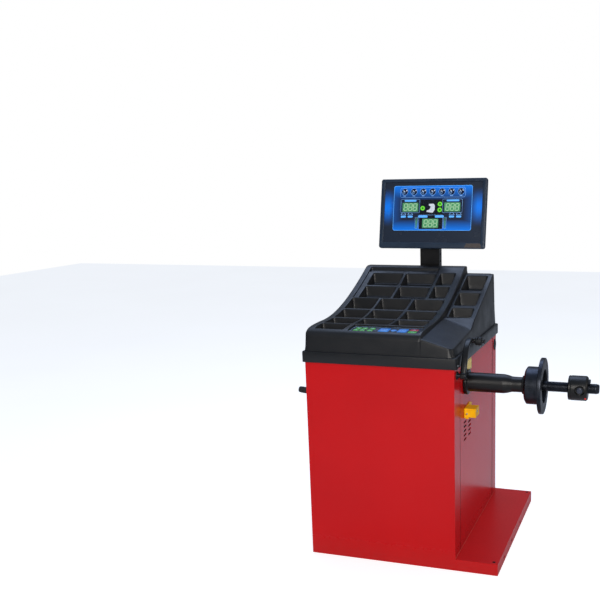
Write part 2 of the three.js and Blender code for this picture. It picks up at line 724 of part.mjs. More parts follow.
function makeGauge() {
  const gauge = subgroup(machine, [0, GAUGE_Y, GAUGE_Z]);
  add(gauge, 'gauge_rod', turned([
    [GAUGE_HOME, 0], [GAUGE_HOME, GAUGE_ROD_R], [GAUGE_ARM_X[1] + 3, GAUGE_ROD_R], [GAUGE_ARM_X[1] + 3, 0],
  ], 24), brightSteel);

  const bush = turned([
    [552, 8.4], [552, 10.6], [557.3, 10.6], [557.3, 15], [561, 15], [562, 14], [562, 8.4], [552, 8.4],
  ], 24);
  add(gauge, 'gauge_bush', bush, nylon);

  const armX = (GAUGE_ARM_X[0] + GAUGE_ARM_X[1]) / 2;
  const path = new THREE.CatmullRomCurve3(ARM_PATH.map(([y, z]) => new THREE.Vector3(armX, y, z)));
  const halfX = (GAUGE_ARM_X[1] - GAUGE_ARM_X[0]) / 2;
  const section = outline([[-6, -halfX], [6, -halfX], [6, halfX], [-6, halfX]]);
  const bar = new THREE.ExtrudeGeometry(section, { steps: 18, extrudePath: path, bevelEnabled: false });
  const hub = cylinder('X', GAUGE_HUB_R, GAUGE_ARM_X[0], GAUGE_ARM_X[1], [0, 0], 24);
  const eye = cylinder('X', 9, GAUGE_ARM_X[0], GAUGE_ARM_X[1] + 4, GAUGE_EYE, 24);
  const rodHole = cylinder('X', GAUGE_ROD_R + GAP, GAUGE_ARM_X[0] - 1, GAUGE_ARM_X[1] + 10, [0, 0], 24);
  add(gauge, 'gauge_arm', body([bar, hub, eye], [rodHole]), blackEnamel);

  const head = turned([
    [593.5, 0], [593.5, 12], [596, 15.5], [616, 15.5], [618, 12], [618, 6], [626, 6], [626, 0],
  ], 24);
  const slot = block([601, 606], [-20, 20], [6, 20]);
  const headGeometry = body([head], [slot]).translate(0, ...GAUGE_HEAD);
  add(gauge, 'gauge_head', headGeometry, blackAbs);

  // Carriage: grips the rod's inner end and slides on the rail.
  const blockX = [GAUGE_HOME + 8, GAUGE_HOME + 34];
  const carriage = block(blockX, [-16, 16], [-RAIL_DROP - 12, 16]);
  const rodBore = cylinder('X', GAUGE_ROD_R + GAP, blockX[0] - 5, blockX[1] + 5, [0, 0], 24);
  const railBore = cylinder('X', RAIL_R + GAP, blockX[0] - 5, blockX[1] + 5, [0, -RAIL_DROP], 24);
  add(gauge, 'gauge_carriage', body([carriage], [rodBore, railBore]), nylon);

  const rail = cylinder('X', RAIL_R, 230, 550, [0, -RAIL_DROP], 24);
  const foot = (x) => block(x, [SHEET + GAP - GAUGE_Y, 14], [-RAIL_DROP - 14, -RAIL_DROP + 14]);
  add(gauge, 'gauge_rail', body([rail, foot([228, 233]), foot([547, 552])]), zincSteel);
  const pot = block([180, 222], [-18, 14], [-RAIL_DROP - 16, -RAIL_DROP + 16]);
  const spool = cylinder('X', 12, 220, 227, [0, -RAIL_DROP], 24);
  add(gauge, 'gauge_sensor', body([pot, spool]), boardGreen);
}

// ---------------------------------------------------------------- quick nut

function makeQuickNut() {
  const axis = subgroup(machine, [0, SPINDLE_Y, SPINDLE_Z]);
  const bore = SHAFT_R + 0.8;
  const hull = turned([
    [NUT_LEFT, bore], [NUT_LEFT, NUT_R - 3], [NUT_LEFT + 2, NUT_R - 1], [NUT_LEFT + 12, NUT_R],
    [NUT_RIGHT - 5, NUT_R], [NUT_RIGHT, NUT_R - 5], [NUT_RIGHT, bore], [NUT_LEFT, bore],
  ], 32);
  // Radial pocket on the operator's side: the release button slides in it.
  const pocket = cylinder('Y', BUTTON_R + 0.4, -60, -bore + 4, [BUTTON_X, 0], 24);
  const dish = cylinder('Y', 17, -60, -NUT_R + 7, [BUTTON_X, 0], 24);
  // Slot for the threaded jaw, open at the right face behind the shaft.
  const jawSlot = block([NUT_RIGHT - 14, NUT_RIGHT + 1], [-13, 13], [bore - 3, 34]);
  add(axis, 'quick_nut', body([hull], [pocket, dish, jawSlot]), blackEnamel);
  const stem = cylinder('Y', BUTTON_R, -NUT_R + 1, -bore - 5, [BUTTON_X, 0], 24);
  add(axis, 'nut_button', stem, navyPlastic);
  const jaw = block([NUT_RIGHT - 13.5, NUT_RIGHT + 8], [-12.5, 12.5], [bore + 0.5, 30]);
  add(axis, 'nut_jaw', body([jaw], [cylinder('X', bore + 0.5, 960, 1010, [0, 0], 24)]), blackSteel);
}

// ---------------------------------------------------------------- display

function makePost() {
  const tube = block(POST_X, POST_Y, POST_Z);
  const foot = block([POST_X[0] - 22, POST_X[1] + 22], [CABINET_D + GAP, POST_Y[0] + 2], [600, 735]);
  const bore = block([POST_X[0] + 3, POST_X[1] - 3], [POST_Y[0] + 3, POST_Y[1] - 3], [590, POST_Z[1] - 3]);
  add(machine, 'monitor_post', body([tube, foot], [bore]), blackEnamel);

  const pin = hingePlace();
  const base = block([HINGE_X - 38, HINGE_X + 30], [712, 744], [POST_Z[1] + GAP, POST_Z[1] + 6]);
  const tongue = block([HINGE_X - 12, HINGE_X + 12], [pin[1] - 8, pin[1] + 8], [POST_Z[1] + 2, pin[2]]);
  const eye = cylinder('X', 8, HINGE_X - 12, HINGE_X + 12, [pin[1], pin[2]], 24);
  const hole = cylinder('X', 5.3, HINGE_X - 20, HINGE_X + 20, [pin[1], pin[2]], 24);
  add(machine, 'monitor_bracket', body([base, tongue, eye], [hole]), blackEnamel);
}

// World place of the tilt axis.
function hingePlace() {
  const [, y, z] = MONITOR_CENTRE;
  return [HINGE_X, y + HINGE_DEPTH * Math.cos(MONITOR_LEAN), z - HINGE_DEPTH * Math.sin(MONITOR_LEAN)];
}

function makeMonitor() {
  const monitor = subgroup(machine, MONITOR_CENTRE, -MONITOR_LEAN);
  const halfW = MONITOR_W / 2;
  const halfH = MONITOR_H / 2;
  const rim = prismY(roundedRectangle([-halfW, halfW], [-halfH, halfH], 9), [0, 9]);
  const seat = block([-halfW + 6, halfW - 6], [4, 10], [-halfH + 6, halfH - 6]);
  const window = block([-halfW + 18, halfW - 18], [-1, 10], [-halfH + 24, halfH - 14]);
  add(monitor, 'monitor_bezel', body([rim], [seat, window]), navyPlastic);
  const glass = block([-halfW + 6.5, halfW - 6.5], [4.3, 7.3], [-halfH + 6.5, halfH - 6.5]);
  add(monitor, 'display_panel', glass, screenBlue);

  const shellOuter = prismY(roundedRectangle([-halfW, halfW], [-halfH, halfH], 9), [9 + GAP, 22]);
  const hump = block([-halfW + 50, halfW - 50], [20, MONITOR_T], [-halfH + 50, halfH - 45]);
  const hollow = block([-halfW + 3, halfW - 3], [8, 19], [-halfH + 3, halfH - 3]);
  add(monitor, 'monitor_back', body([shellOuter, hump], [hollow]), navyPlastic);

  const x = HINGE_X - MONITOR_CENTRE[0];
  const plate = block([x - 50, x + 50], [MONITOR_T + GAP, MONITOR_T + 4], [-32, 50]);
  const lug = (side) => {
    const span = side < 0 ? [x - 18, x - 12.5] : [x + 12.5, x + 18];
    return [
      block(span, [MONITOR_T + 2, HINGE_DEPTH], [-9, 9]),
      cylinder('X', 9, span[0], span[1], [HINGE_DEPTH, 0], 24),
    ];
  };
  const pin = cylinder('X', 5, x - 16, x + 16, [HINGE_DEPTH, 0], 24);
  add(monitor, 'monitor_yoke', body([plate, ...lug(-1), ...lug(1), pin]), blackEnamel);
}

// ---------------------------------------------------------------- electrics

function makeElectrics() {
  const around = (half, depth, bottom, top) => block(
    [INLET_X - half, INLET_X + half],
    [CABINET_D + depth[0], CABINET_D + depth[1]],
    [INLET_Z + bottom, INLET_Z + top],
  );
  const shell = around(26, [-26, 1], -23, 23);
  const collar = around(31, [GAP, 3.5], -28, 28);
  const socket = around(12, [-16, 5], -19, -3);
  const rockerWell = around(12, [-12, 5], 3, 19);
  const pins = [-7, 0, 7].map((dx) => block(
    [INLET_X + dx - 1, INLET_X + dx + 1],
    [CABINET_D - 18, CABINET_D - 4],
    [INLET_Z - (dx === 0 ? 10 : 14), INLET_Z - (dx === 0 ? 6 : 10)],
  ));
  const geometry = body([body([shell, collar], [socket, rockerWell]), ...pins]);
  add(machine, 'power_inlet', geometry, blackAbs);

  // Rocker shown switched off: pivot line along X in the middle of its well.
  const rocker = subgroup(machine, [INLET_X, CABINET_D - 4, INLET_Z + 11], THREE.MathUtils.degToRad(-7));
  const profile = [[-2, -6.6], [5, -6.6], [3.4, 0], [5, 6.6], [-2, 6.6], [-5, 0]];
  add(rocker, 'power_rocker', prismX(profile, [-11, 11]), blackAbs);

  const sheet = block(BOARD_X, [CABINET_D - 18, CABINET_D - 16], BOARD_Z);
  const raised = [CABINET_D - 30, CABINET_D - 17];
  const parts = BOARD_BLOCKS.map(([x, z, w, h]) => block([x, x + w], raised, [z, z + h]));
  add(machine, 'control_board', body([sheet, ...parts]), boardGreen);

  const core = block([60, 150], [470, 560], [BASE_H + GAP, BASE_H + 70]);
  const coil = block([78, 132], [455, 575], [BASE_H + 14, BASE_H + 56]);
  add(machine, 'transformer', body([core, coil]), castIron);
}

// ---------------------------------------------------------------- assembly

makeFrontPanel();
makeSidePanels();
makeRearPanel();
makeBase();
makeStopBlock();
makePegs();
makeTray();
makeKeypad();
makeSpindleSupport();
makeSpindle();
makeDrive();
makeGauge();
makeQuickNut();
makePost();
makeMonitor();
makeElectrics();

machine.updateMatrixWorld(true);
const bounds = new THREE.Box3().setFromObject(machine, true);
const centre = bounds.getCenter(new THREE.Vector3());
machine.position.set(-centre.x, -centre.y, -bounds.min.z);

export default machine;
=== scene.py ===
# Wheel balancer machine: the looks of every piece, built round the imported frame.
# Working axes are millimetres with X to the right along the spindle, Y towards the back
# and Z up, from the cabinet's front left foot; placed() turns them into frame metres.

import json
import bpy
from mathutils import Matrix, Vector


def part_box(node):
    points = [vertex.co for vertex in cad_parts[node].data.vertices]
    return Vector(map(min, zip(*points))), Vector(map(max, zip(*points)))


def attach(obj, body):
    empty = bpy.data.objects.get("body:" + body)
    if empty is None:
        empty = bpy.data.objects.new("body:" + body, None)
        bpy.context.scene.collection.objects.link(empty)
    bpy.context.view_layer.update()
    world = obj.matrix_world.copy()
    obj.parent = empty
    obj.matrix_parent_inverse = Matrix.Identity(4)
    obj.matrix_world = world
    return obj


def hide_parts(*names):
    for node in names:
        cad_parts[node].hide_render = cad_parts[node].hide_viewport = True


bl_info = {
    "name": "Wheel Balancer Machine",
    "version": (1, 0, 0),
    "blender": (4, 5, 0),
    "location": "3D View > Sidebar > Balancer",
    "description": "Builds a wheel balancer's cabinet, weight tray, spindle, gauge, keypad and display",
    "category": "Object",
}

import bmesh
import bpy
import numpy as np
from bpy.props import FloatProperty, FloatVectorProperty, IntProperty, PointerProperty
from mathutils import Matrix

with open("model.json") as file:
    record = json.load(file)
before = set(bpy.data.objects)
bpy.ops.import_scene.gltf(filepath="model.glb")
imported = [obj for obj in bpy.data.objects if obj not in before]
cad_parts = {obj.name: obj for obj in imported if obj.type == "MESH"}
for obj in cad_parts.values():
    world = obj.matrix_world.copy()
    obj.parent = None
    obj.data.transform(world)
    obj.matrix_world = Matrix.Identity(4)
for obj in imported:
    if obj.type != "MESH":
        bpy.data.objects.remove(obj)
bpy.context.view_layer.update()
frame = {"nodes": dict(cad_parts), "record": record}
ORIGIN = np.array(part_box("front_panel")[0])
BODY_OF = {node: body for body, nodes in frame["record"]["behaviour"]["bodies"].items() for node in nodes}
MM = 0.001

# ---------------------------------------------------------------- places shared by several pieces

CABINET_W = 557.0  # outer face of the right side panel
SPINDLE = (0.0, 162.0, 662.0)  # a point on the spindle's axis
GAUGE = (0.0, 32.0, 714.0)  # a point on the gauge rod's axis
MONITOR = (291.7, 675.0, 1240.0)  # middle of the screen's face
MONITOR_LEAN = np.radians(-12.0)
MONITOR_SIZE = (456.0, 290.0)
KEYPAD = (292.0, 63.0, 858.0)  # middle of the keypad's face
KEYPAD_TILT = np.radians(4.2)
KEYPAD_SIZE = (262.0, 78.0)

# ---------------------------------------------------------------- colour and node helpers


def linear(hex_colour):
    """An sRGB hex colour as linear RGBA: each channel through the sRGB curve."""
    channels = [int(hex_colour[i : i + 2], 16) / 255 for i in (1, 3, 5)]
    return tuple(c / 12.92 if c <= 0.04045 else ((c + 0.055) / 1.055) ** 2.4 for c in channels) + (1.0,)


def add_node(tree, kind, inputs=None, **settings):
    """Adds one node, sets its properties, and sets each named or numbered input or links it to a socket."""
    made = tree.nodes.new(kind)
    for key, value in settings.items():
        setattr(made, key, value)
    for key, value in (inputs or {}).items():
        if isinstance(value, bpy.types.NodeSocket):
            tree.links.new(value, made.inputs[key])
        else:
            made.inputs[key].default_value = value
    return made


def blank_material(name, shader_values):
    """A material with one Principled shader, and the object coordinates that its patterns read."""
    material = bpy.data.materials.new(name)
    material.use_nodes = True
    tree = material.node_tree
    tree.nodes.clear()
    shader = add_node(tree, "ShaderNodeBsdfPrincipled", shader_values)
    add_node(tree, "ShaderNodeOutputMaterial", {"Surface": shader.outputs[0]})
    coords = add_node(tree, "ShaderNodeTexCoord").outputs["Object"]
    return material, tree, shader, coords


def wire(tree, shader, sources):
    """Links each source to the shader's socket of that name."""
    for socket, source in sources.items():
        tree.links.new(source, shader.inputs[socket])


def layered(name, colour, shade, patch_mm, rough, grain_mm, grain_depth_mm, shader_values=None):
    """A coated or moulded finish: broad patches mix the colour with its shade and move the roughness
    between two values, and a fine grain of a size and depth in millimetres lifts the surface."""
    material, tree, shader, coords = blank_material(name, shader_values or {})
    patches = add_node(
        tree, "ShaderNodeTexNoise", {"Vector": coords, "Scale": 1000 / patch_mm, "Detail": 4.0}
    )
    spread = add_node(
        tree, "ShaderNodeMapRange", {"Value": patches.outputs[0], "From Min": 0.35, "From Max": 0.65}
    )
    colours = add_node(
        tree,
        "ShaderNodeMix",
        {0: spread.outputs[0], 6: as_rgba(colour), 7: as_rgba(shade)},
        data_type="RGBA",
    )
    roughness = add_node(
        tree, "ShaderNodeMapRange", {"Value": spread.outputs[0], "To Min": rough[0], "To Max": rough[1]}
    )
    grain = add_node(tree, "ShaderNodeTexNoise", {"Vector": coords, "Scale": 1000 / grain_mm, "Detail": 2.0})
    bump = add_node(
        tree, "ShaderNodeBump", {"Height": grain.outputs[0], "Distance": grain_depth_mm * MM, "Strength": 1.0}
    )
    wire(
        tree,
        shader,
        {"Base Color": colours.outputs[2], "Roughness": roughness.outputs[0], "Normal": bump.outputs[0]},
    )
    return material


def as_rgba(colour):
    return linear(colour) if isinstance(colour, str) else tuple(colour)[:3] + (1.0,)


def turned_metal(name, colour, shade, rough, centre, line_mm, shader_values=None):
    """Metal cut on a lathe whose axis runs along X through a centre: fine lines follow the distance
    along the axis and the distance from it, so they ring both the flanks and the faces."""
    material, tree, shader, coords = blank_material(name, {"Metallic": 1.0, **(shader_values or {})})
    middle = placed([centre])[0]
    local = add_node(tree, "ShaderNodeVectorMath", {0: coords, 1: tuple(middle)}, operation="SUBTRACT")
    axes = add_node(tree, "ShaderNodeSeparateXYZ", {0: local.outputs[0]})
    flat = add_node(tree, "ShaderNodeCombineXYZ", {1: axes.outputs[1], 2: axes.outputs[2]})
    radius = add_node(tree, "ShaderNodeVectorMath", {0: flat.outputs[0]}, operation="LENGTH")
    track = add_node(tree, "ShaderNodeCombineXYZ", {0: axes.outputs[0], 1: radius.outputs["Value"]})
    lines = add_node(
        tree, "ShaderNodeTexNoise", {"Vector": track.outputs[0], "Scale": 1000 / line_mm, "Detail": 3.0}
    )
    patches = add_node(tree, "ShaderNodeTexNoise", {"Vector": coords, "Scale": 40.0, "Detail": 3.0})
    blend = add_node(
        tree, "ShaderNodeMath", {0: lines.outputs[0], 1: patches.outputs[0]}, operation="MULTIPLY"
    )
    spread = add_node(
        tree, "ShaderNodeMapRange", {"Value": blend.outputs[0], "From Min": 0.12, "From Max": 0.4}
    )
    colours = add_node(
        tree, "ShaderNodeMix", {0: spread.outputs[0], 6: linear(colour), 7: linear(shade)}, data_type="RGBA"
    )
    roughness = add_node(
        tree, "ShaderNodeMapRange", {"Value": spread.outputs[0], "To Min": rough[0], "To Max": rough[1]}
    )
    bump = add_node(
        tree, "ShaderNodeBump", {"Height": lines.outputs[0], "Distance": 0.02 * MM, "Strength": 1.0}
    )
    wire(
        tree,
        shader,
        {"Base Color": colours.outputs[2], "Roughness": roughness.outputs[0], "Normal": bump.outputs[0]},
    )
    return material


# ---------------------------------------------------------------- finishes


# A satin skin mirrors less of what is straight in front of it than smooth plastic does.
SATIN = {"IOR": 1.5, "Specular IOR Level": 0.32}
DULL = {"IOR": 1.5, "Specular IOR Level": 0.15}
MATT = {"IOR": 1.5, "Specular IOR Level": 0.05}


def red_powder_coat():
    """Polyester powder coat, sprayed and baked: glossy, with a faint orange-peel wave, so the side
    facing away from the eye mirrors the pale studio. Dust and rubbed paint dull it near the floor."""
    colours = bpy.context.scene.balancer_colours
    values = {"Specular IOR Level": 0.22, "IOR": 1.5}
    material, tree, shader, coords = blank_material("powder_coat_red", values)
    patches = add_node(tree, "ShaderNodeTexNoise", {"Vector": coords, "Scale": 3.0, "Detail": 3.0})
    base = add_node(
        tree,
        "ShaderNodeMix",
        {0: patches.outputs[0], 6: as_rgba(colours.enamel), 7: as_rgba(colours.enamel_shade)},
        data_type="RGBA",
    )
    height = add_node(tree, "ShaderNodeSeparateXYZ", {0: coords})
    near_floor = add_node(
        tree,
        "ShaderNodeMapRange",
        {"Value": height.outputs[2], "From Min": 0.0, "From Max": 0.09, "To Min": 1.0, "To Max": 0.0},
    )
    specks = add_node(tree, "ShaderNodeTexNoise", {"Vector": coords, "Scale": 90.0, "Detail": 6.0})
    dust = add_node(
        tree, "ShaderNodeMath", {0: near_floor.outputs[0], 1: specks.outputs[0]}, operation="MULTIPLY"
    )
    dust_share = add_node(tree, "ShaderNodeMath", {0: dust.outputs[0], 1: 0.22}, operation="MULTIPLY")
    dusty = add_node(
        tree,
        "ShaderNodeMix",
        {0: dust_share.outputs[0], 6: base.outputs[2], 7: linear("#6e4a44")},
        data_type="RGBA",
    )
    roughness = add_node(
        tree, "ShaderNodeMapRange", {"Value": dust.outputs[0], "To Min": 0.24, "To Max": 0.6}
    )
    peel = add_node(tree, "ShaderNodeTexNoise", {"Vector": coords, "Scale": 220.0, "Detail": 1.0})
    bump = add_node(
        tree, "ShaderNodeBump", {"Height": peel.outputs[0], "Distance": 0.02 * MM, "Strength": 1.0}
    )
    wire(
        tree,
        shader,
        {"Base Color": dusty.outputs[2], "Roughness": roughness.outputs[0], "Normal": bump.outputs[0]},
    )
    return material


def moulded_abs():
    """ABS from a spark-eroded mould: charcoal, satin, with a leathery grain drawn at 1.4 mm so it shows."""
    colours = bpy.context.scene.balancer_colours
    return layered(
        "moulded_abs_charcoal", colours.tray, "#0d0e11", 60, (0.34, 0.44), 1.4, 0.06,
        {"IOR": 1.5, "Specular IOR Level": 0.44},
    )


def black_semi_gloss():
    """Semi-gloss black enamel on steel tube: deep black with a soft, slightly rippled highlight."""
    return layered("enamel_black_semi_gloss", "#060606", "#0a0a0b", 90, (0.3, 0.38), 4.0, 0.003, SATIN)


def moulded_nylon():
    """Glass-filled nylon: dull black with faint paler flow marks."""
    return layered("nylon_black", "#101113", "#1b1c1f", 12, (0.5, 0.62), 0.9, 0.05, SATIN)


def yellow_enamel():
    """Safety yellow enamel: warm, satin, a little paler where the film is thin."""
    colours = bpy.context.scene.balancer_colours
    return layered("enamel_safety_yellow", colours.stop_block, "#f7b000", 30, (0.36, 0.46), 2.0, 0.03, DULL)


def peg_sleeve():
    """Extruded rubber sleeve: matt black, powdery and soft at the edges."""
    return layered("rubber_sleeve_black", "#121212", "#1d1c1b", 15, (0.62, 0.78), 0.8, 0.06, {"IOR": 1.52})


def keypad_film():
    """Polycarbonate film with a velvet face: dark navy, with a very fine even grain."""
    return layered(
        "polycarbonate_film_navy", "#101a33", "#0c1428", 25, (0.34, 0.42), 0.5, 0.02, {"IOR": 1.58}
    )


def printed_key(name, colour, shade):
    """Ink printed under embossed film: clear colour with a soft gloss."""
    return layered(name, colour, shade, 9, (0.3, 0.38), 0.6, 0.02, {"IOR": 1.58, "Coat Weight": 0.2})


def cast_iron():
    """Sand cast grey iron, primed: dark grey, sandy skin of 1.5 mm grains."""
    return layered("cast_iron_primed", "#3a3c3e", "#4d4f51", 18, (0.55, 0.72), 1.5, 0.25, {"Metallic": 0.6})


def sensor_ceramic():
    """Fired ceramic of the force sensors: ivory, smooth, faintly speckled."""
    return layered("ceramic_ivory", "#ddd6c4", "#c9c0ab", 3, (0.35, 0.5), 0.7, 0.02, {"IOR": 1.6})


def bright_steel():
    """Ground and polished steel rod: bright, with round grinding lines."""
    return turned_metal("steel_ground_bright", "#c3c6ca", "#8f9296", (0.16, 0.3), GAUGE, 0.6)


def bearing_steel():
    """Hardened bearing steel about the spindle: bright rings."""
    return turned_metal("steel_bearing_rings", "#c9ccd0", "#97999d", (0.14, 0.26), SPINDLE, 0.8)


def black_oxide():
    """Turned steel, chemically blackened and oiled: near black, satin, with tool rings on every face."""
    return turned_metal("steel_black_oxide", "#3a3d44", "#22252a", (0.3, 0.44), SPINDLE, 0.9)


def worn_flange_face():
    """Machined clamping face: the blackening has worn to grey in rings."""
    return turned_metal("steel_worn_clamping_face", "#434447", "#28292c", (0.38, 0.52), SPINDLE, 1.1)


def zinc_plate():
    """Zinc plated and passivated steel: pale grey, with faint straw and blue clouds."""
    return layered(
        "steel_zinc_passivated", "#aeb2b6", "#a7a392", 20, (0.28, 0.42), 1.0, 0.02, {"Metallic": 1.0}
    )


def screw_steel():
    """Zinc plated screws: bright cool grey heads."""
    return layered("screw_steel_zinc", "#c4c8cd", "#9a9da2", 4, (0.2, 0.34), 0.6, 0.02, {"Metallic": 1.0})


def black_screw():
    """Blackened socket screws: dark, oily."""
    return layered(
        "screw_steel_blackened", "#1b1c1f", "#2b2c30", 4, (0.32, 0.45), 0.6, 0.02, {"Metallic": 0.9}
    )


def solder_mask():
    """Glass-epoxy board under green solder mask: tracks show as paler stepped lines 3.3 mm apart."""
    material, tree, shader, coords = blank_material("circuit_board_green", {"IOR": 1.5, "Coat Weight": 0.3})
    tracks = add_node(
        tree,
        "ShaderNodeTexBrick",
        {
            "Vector": add_node(
                tree, "ShaderNodeMapping", {"Vector": coords, "Rotation": (np.pi / 2, 0, 0)}
            ).outputs[0],
            "Color1": linear("#1c6b3b"),
            "Color2": linear("#237a45"),
            "Mortar": linear("#4d9a5f"),
            "Scale": 90.0,
            "Mortar Size": 0.03,
            "Brick Width": 1.7,
            "Row Height": 0.3,
        },
    )
    tree.links.new(tracks.outputs[0], shader.inputs["Base Color"])
    lift = add_node(
        tree, "ShaderNodeBump", {"Height": tracks.outputs[1], "Distance": 0.03 * MM, "Strength": 1.0}
    )
    tree.links.new(lift.outputs[0], shader.inputs["Normal"])
    haze = add_node(tree, "ShaderNodeTexNoise", {"Vector": coords, "Scale": 120.0})
    roughness = add_node(
        tree, "ShaderNodeMapRange", {"Value": haze.outputs[0], "To Min": 0.25, "To Max": 0.45}
    )
    tree.links.new(roughness.outputs[0], shader.inputs["Roughness"])
    return material


def belt_rubber():
    """Poly-V belt of neoprene: matt black with ribs about 4.5 mm apart running along the belt."""
    material, tree, shader, coords = blank_material("rubber_ribbed_belt", {"IOR": 1.52})
    ribs = add_node(
        tree, "ShaderNodeTexWave", {"Vector": coords, "Scale": 69.13}, bands_direction="X"
    )
    haze = add_node(tree, "ShaderNodeTexNoise", {"Vector": coords, "Scale": 150.0, "Detail": 3.0})
    colour = add_node(
        tree, "ShaderNodeMix", {0: haze.outputs[0], 6: linear("#0c0c0d"), 7: linear("#202022")},
        data_type="RGBA",
    )
    roughness = add_node(
        tree, "ShaderNodeMapRange", {"Value": haze.outputs[0], "To Min": 0.6, "To Max": 0.85}
    )
    bump = add_node(
        tree, "ShaderNodeBump", {"Height": ribs.outputs[1], "Distance": 0.6 * MM, "Strength": 1.0}
    )
    wire(
        tree,
        shader,
        {"Base Color": colour.outputs[2], "Roughness": roughness.outputs[0], "Normal": bump.outputs[0]},
    )
    return material


def button_plastic():
    """Acetal push button: slate navy, smooth and waxy."""
    return layered("acetal_button_slate", "#2a3040", "#232938", 10, (0.3, 0.4), 0.8, 0.02, {"IOR": 1.48})


def monitor_plastic():
    """Injection moulded ABS of the display: blue-black with a fine spark grain."""
    return layered("moulded_abs_navy", "#1d2c3e", "#223347", 50, (0.3, 0.4), 1.1, 0.04, SATIN)


def screen_axes(tree, coords):
    """The display's own axes, leaned with it: X across, Y into it and Z up, from its middle."""
    screen = add_node(
        tree,
        "ShaderNodeMapping",
        {"Vector": coords, "Location": tuple(placed([MONITOR])[0]), "Rotation": (MONITOR_LEAN, 0, 0)},
        vector_type="TEXTURE",
    )
    return add_node(tree, "ShaderNodeSeparateXYZ", {0: screen.outputs[0]})


def display_print():
    """Printed polycarbonate front: dark navy, with a blue glow on the left and the right side.
    The glow is one minus the distance from each glow's centre, in the screen's own axes."""
    material, tree, shader, coords = blank_material("display_print_navy", SATIN)
    axes = screen_axes(tree, coords)
    side = add_node(tree, "ShaderNodeMath", {0: axes.outputs[0]}, operation="ABSOLUTE")
    across = add_node(
        tree,
        "ShaderNodeMapRange",
        {"Value": side.outputs[0], "From Min": 0.166, "From Max": 0.19, "To Min": 0.35, "To Max": 1.0},
    )
    lifted = add_node(tree, "ShaderNodeMath", {0: axes.outputs[2], 1: -0.026}, operation="ADD")
    upright = add_node(tree, "ShaderNodeMath", {0: lifted.outputs[0]}, operation="ABSOLUTE")
    along = add_node(
        tree,
        "ShaderNodeMapRange",
        {"Value": upright.outputs[0], "From Min": 0.0, "From Max": 0.085, "To Min": 1.0, "To Max": 0.0},
        interpolation_type="SMOOTHSTEP",
    )
    glow = add_node(tree, "ShaderNodeMath", {0: across.outputs[0], 1: along.outputs[0]}, operation="MULTIPLY")
    colour = add_node(
        tree, "ShaderNodeMix", {0: glow.outputs[0], 6: linear("#222c3c"), 7: linear("#0a70dc")},
        data_type="RGBA",
    )
    haze = add_node(tree, "ShaderNodeTexNoise", {"Vector": coords, "Scale": 30.0})
    roughness = add_node(
        tree, "ShaderNodeMapRange", {"Value": haze.outputs[0], "To Min": 0.2, "To Max": 0.32}
    )
    wire(
        tree,
        shader,
        {
            "Base Color": colour.outputs[2], "Roughness": roughness.outputs[0],
            "Emission Color": colour.outputs[2],
        },
    )
    strength = add_node(tree, "ShaderNodeMath", {0: glow.outputs[0], 1: 0.35}, operation="MULTIPLY")
    tree.links.new(strength.outputs[0], shader.inputs["Emission Strength"])
    return material


def display_field():
    """Back-lit blue field behind the readouts: bright blue at its top, bottom and edge, and nearly
    black in the middle. The light is the larger of the fades from the top, the bottom and the sides."""
    material, tree, shader, coords = blank_material("display_field_blue", SATIN)
    axes = screen_axes(tree, coords)
    top = add_node(
        tree, "ShaderNodeMapRange", {"Value": axes.outputs[2], "From Min": 0.055, "From Max": 0.116}
    )
    bottom = add_node(
        tree, "ShaderNodeMapRange", {"Value": axes.outputs[2], "From Min": -0.025, "From Max": -0.071}
    )
    side = add_node(tree, "ShaderNodeMath", {0: axes.outputs[0]}, operation="ABSOLUTE")
    edge = add_node(
        tree,
        "ShaderNodeMapRange",
        {"Value": side.outputs[0], "From Min": 0.13, "From Max": 0.172, "To Min": 0.0, "To Max": 0.3},
    )
    ends = add_node(tree, "ShaderNodeMath", {0: top.outputs[0], 1: bottom.outputs[0]}, operation="MAXIMUM")
    light = add_node(tree, "ShaderNodeMath", {0: ends.outputs[0], 1: edge.outputs[0]}, operation="MAXIMUM")
    colour = add_node(
        tree, "ShaderNodeMix", {0: light.outputs[0], 6: linear("#1b2438"), 7: linear("#0a74e2")},
        data_type="RGBA",
    )
    haze = add_node(tree, "ShaderNodeTexNoise", {"Vector": coords, "Scale": 30.0})
    roughness = add_node(
        tree, "ShaderNodeMapRange", {"Value": haze.outputs[0], "To Min": 0.16, "To Max": 0.28}
    )
    wire(
        tree,
        shader,
        {
            "Base Color": colour.outputs[2], "Roughness": roughness.outputs[0],
            "Emission Color": colour.outputs[2],
        },
    )
    shader.inputs["Emission Strength"].default_value = 0.3
    return material


def lit_print(name, colour, shade, strength):
    """Translucent ink with lamps behind: even colour and a little light of its own."""
    values = {"Emission Color": linear(colour), "Emission Strength": strength, **SATIN}
    return layered(name, colour, shade, 8, (0.2, 0.3), 1.0, 0.01, values)


def rocker_plastic():
    """Polished black nylon rocker: smooth, with a sharp highlight."""
    return layered("nylon_polished_rocker", "#0e0e10", "#151518", 14, (0.18, 0.26), 1.5, 0.01, {"IOR": 1.53})


def sticker_film():
    """Vinyl label: warm yellow, satin, left blank."""
    return layered("vinyl_label_yellow", "#ffe27a", "#ffdb66", 14, (0.34, 0.44), 1.2, 0.02, {"IOR": 1.5})


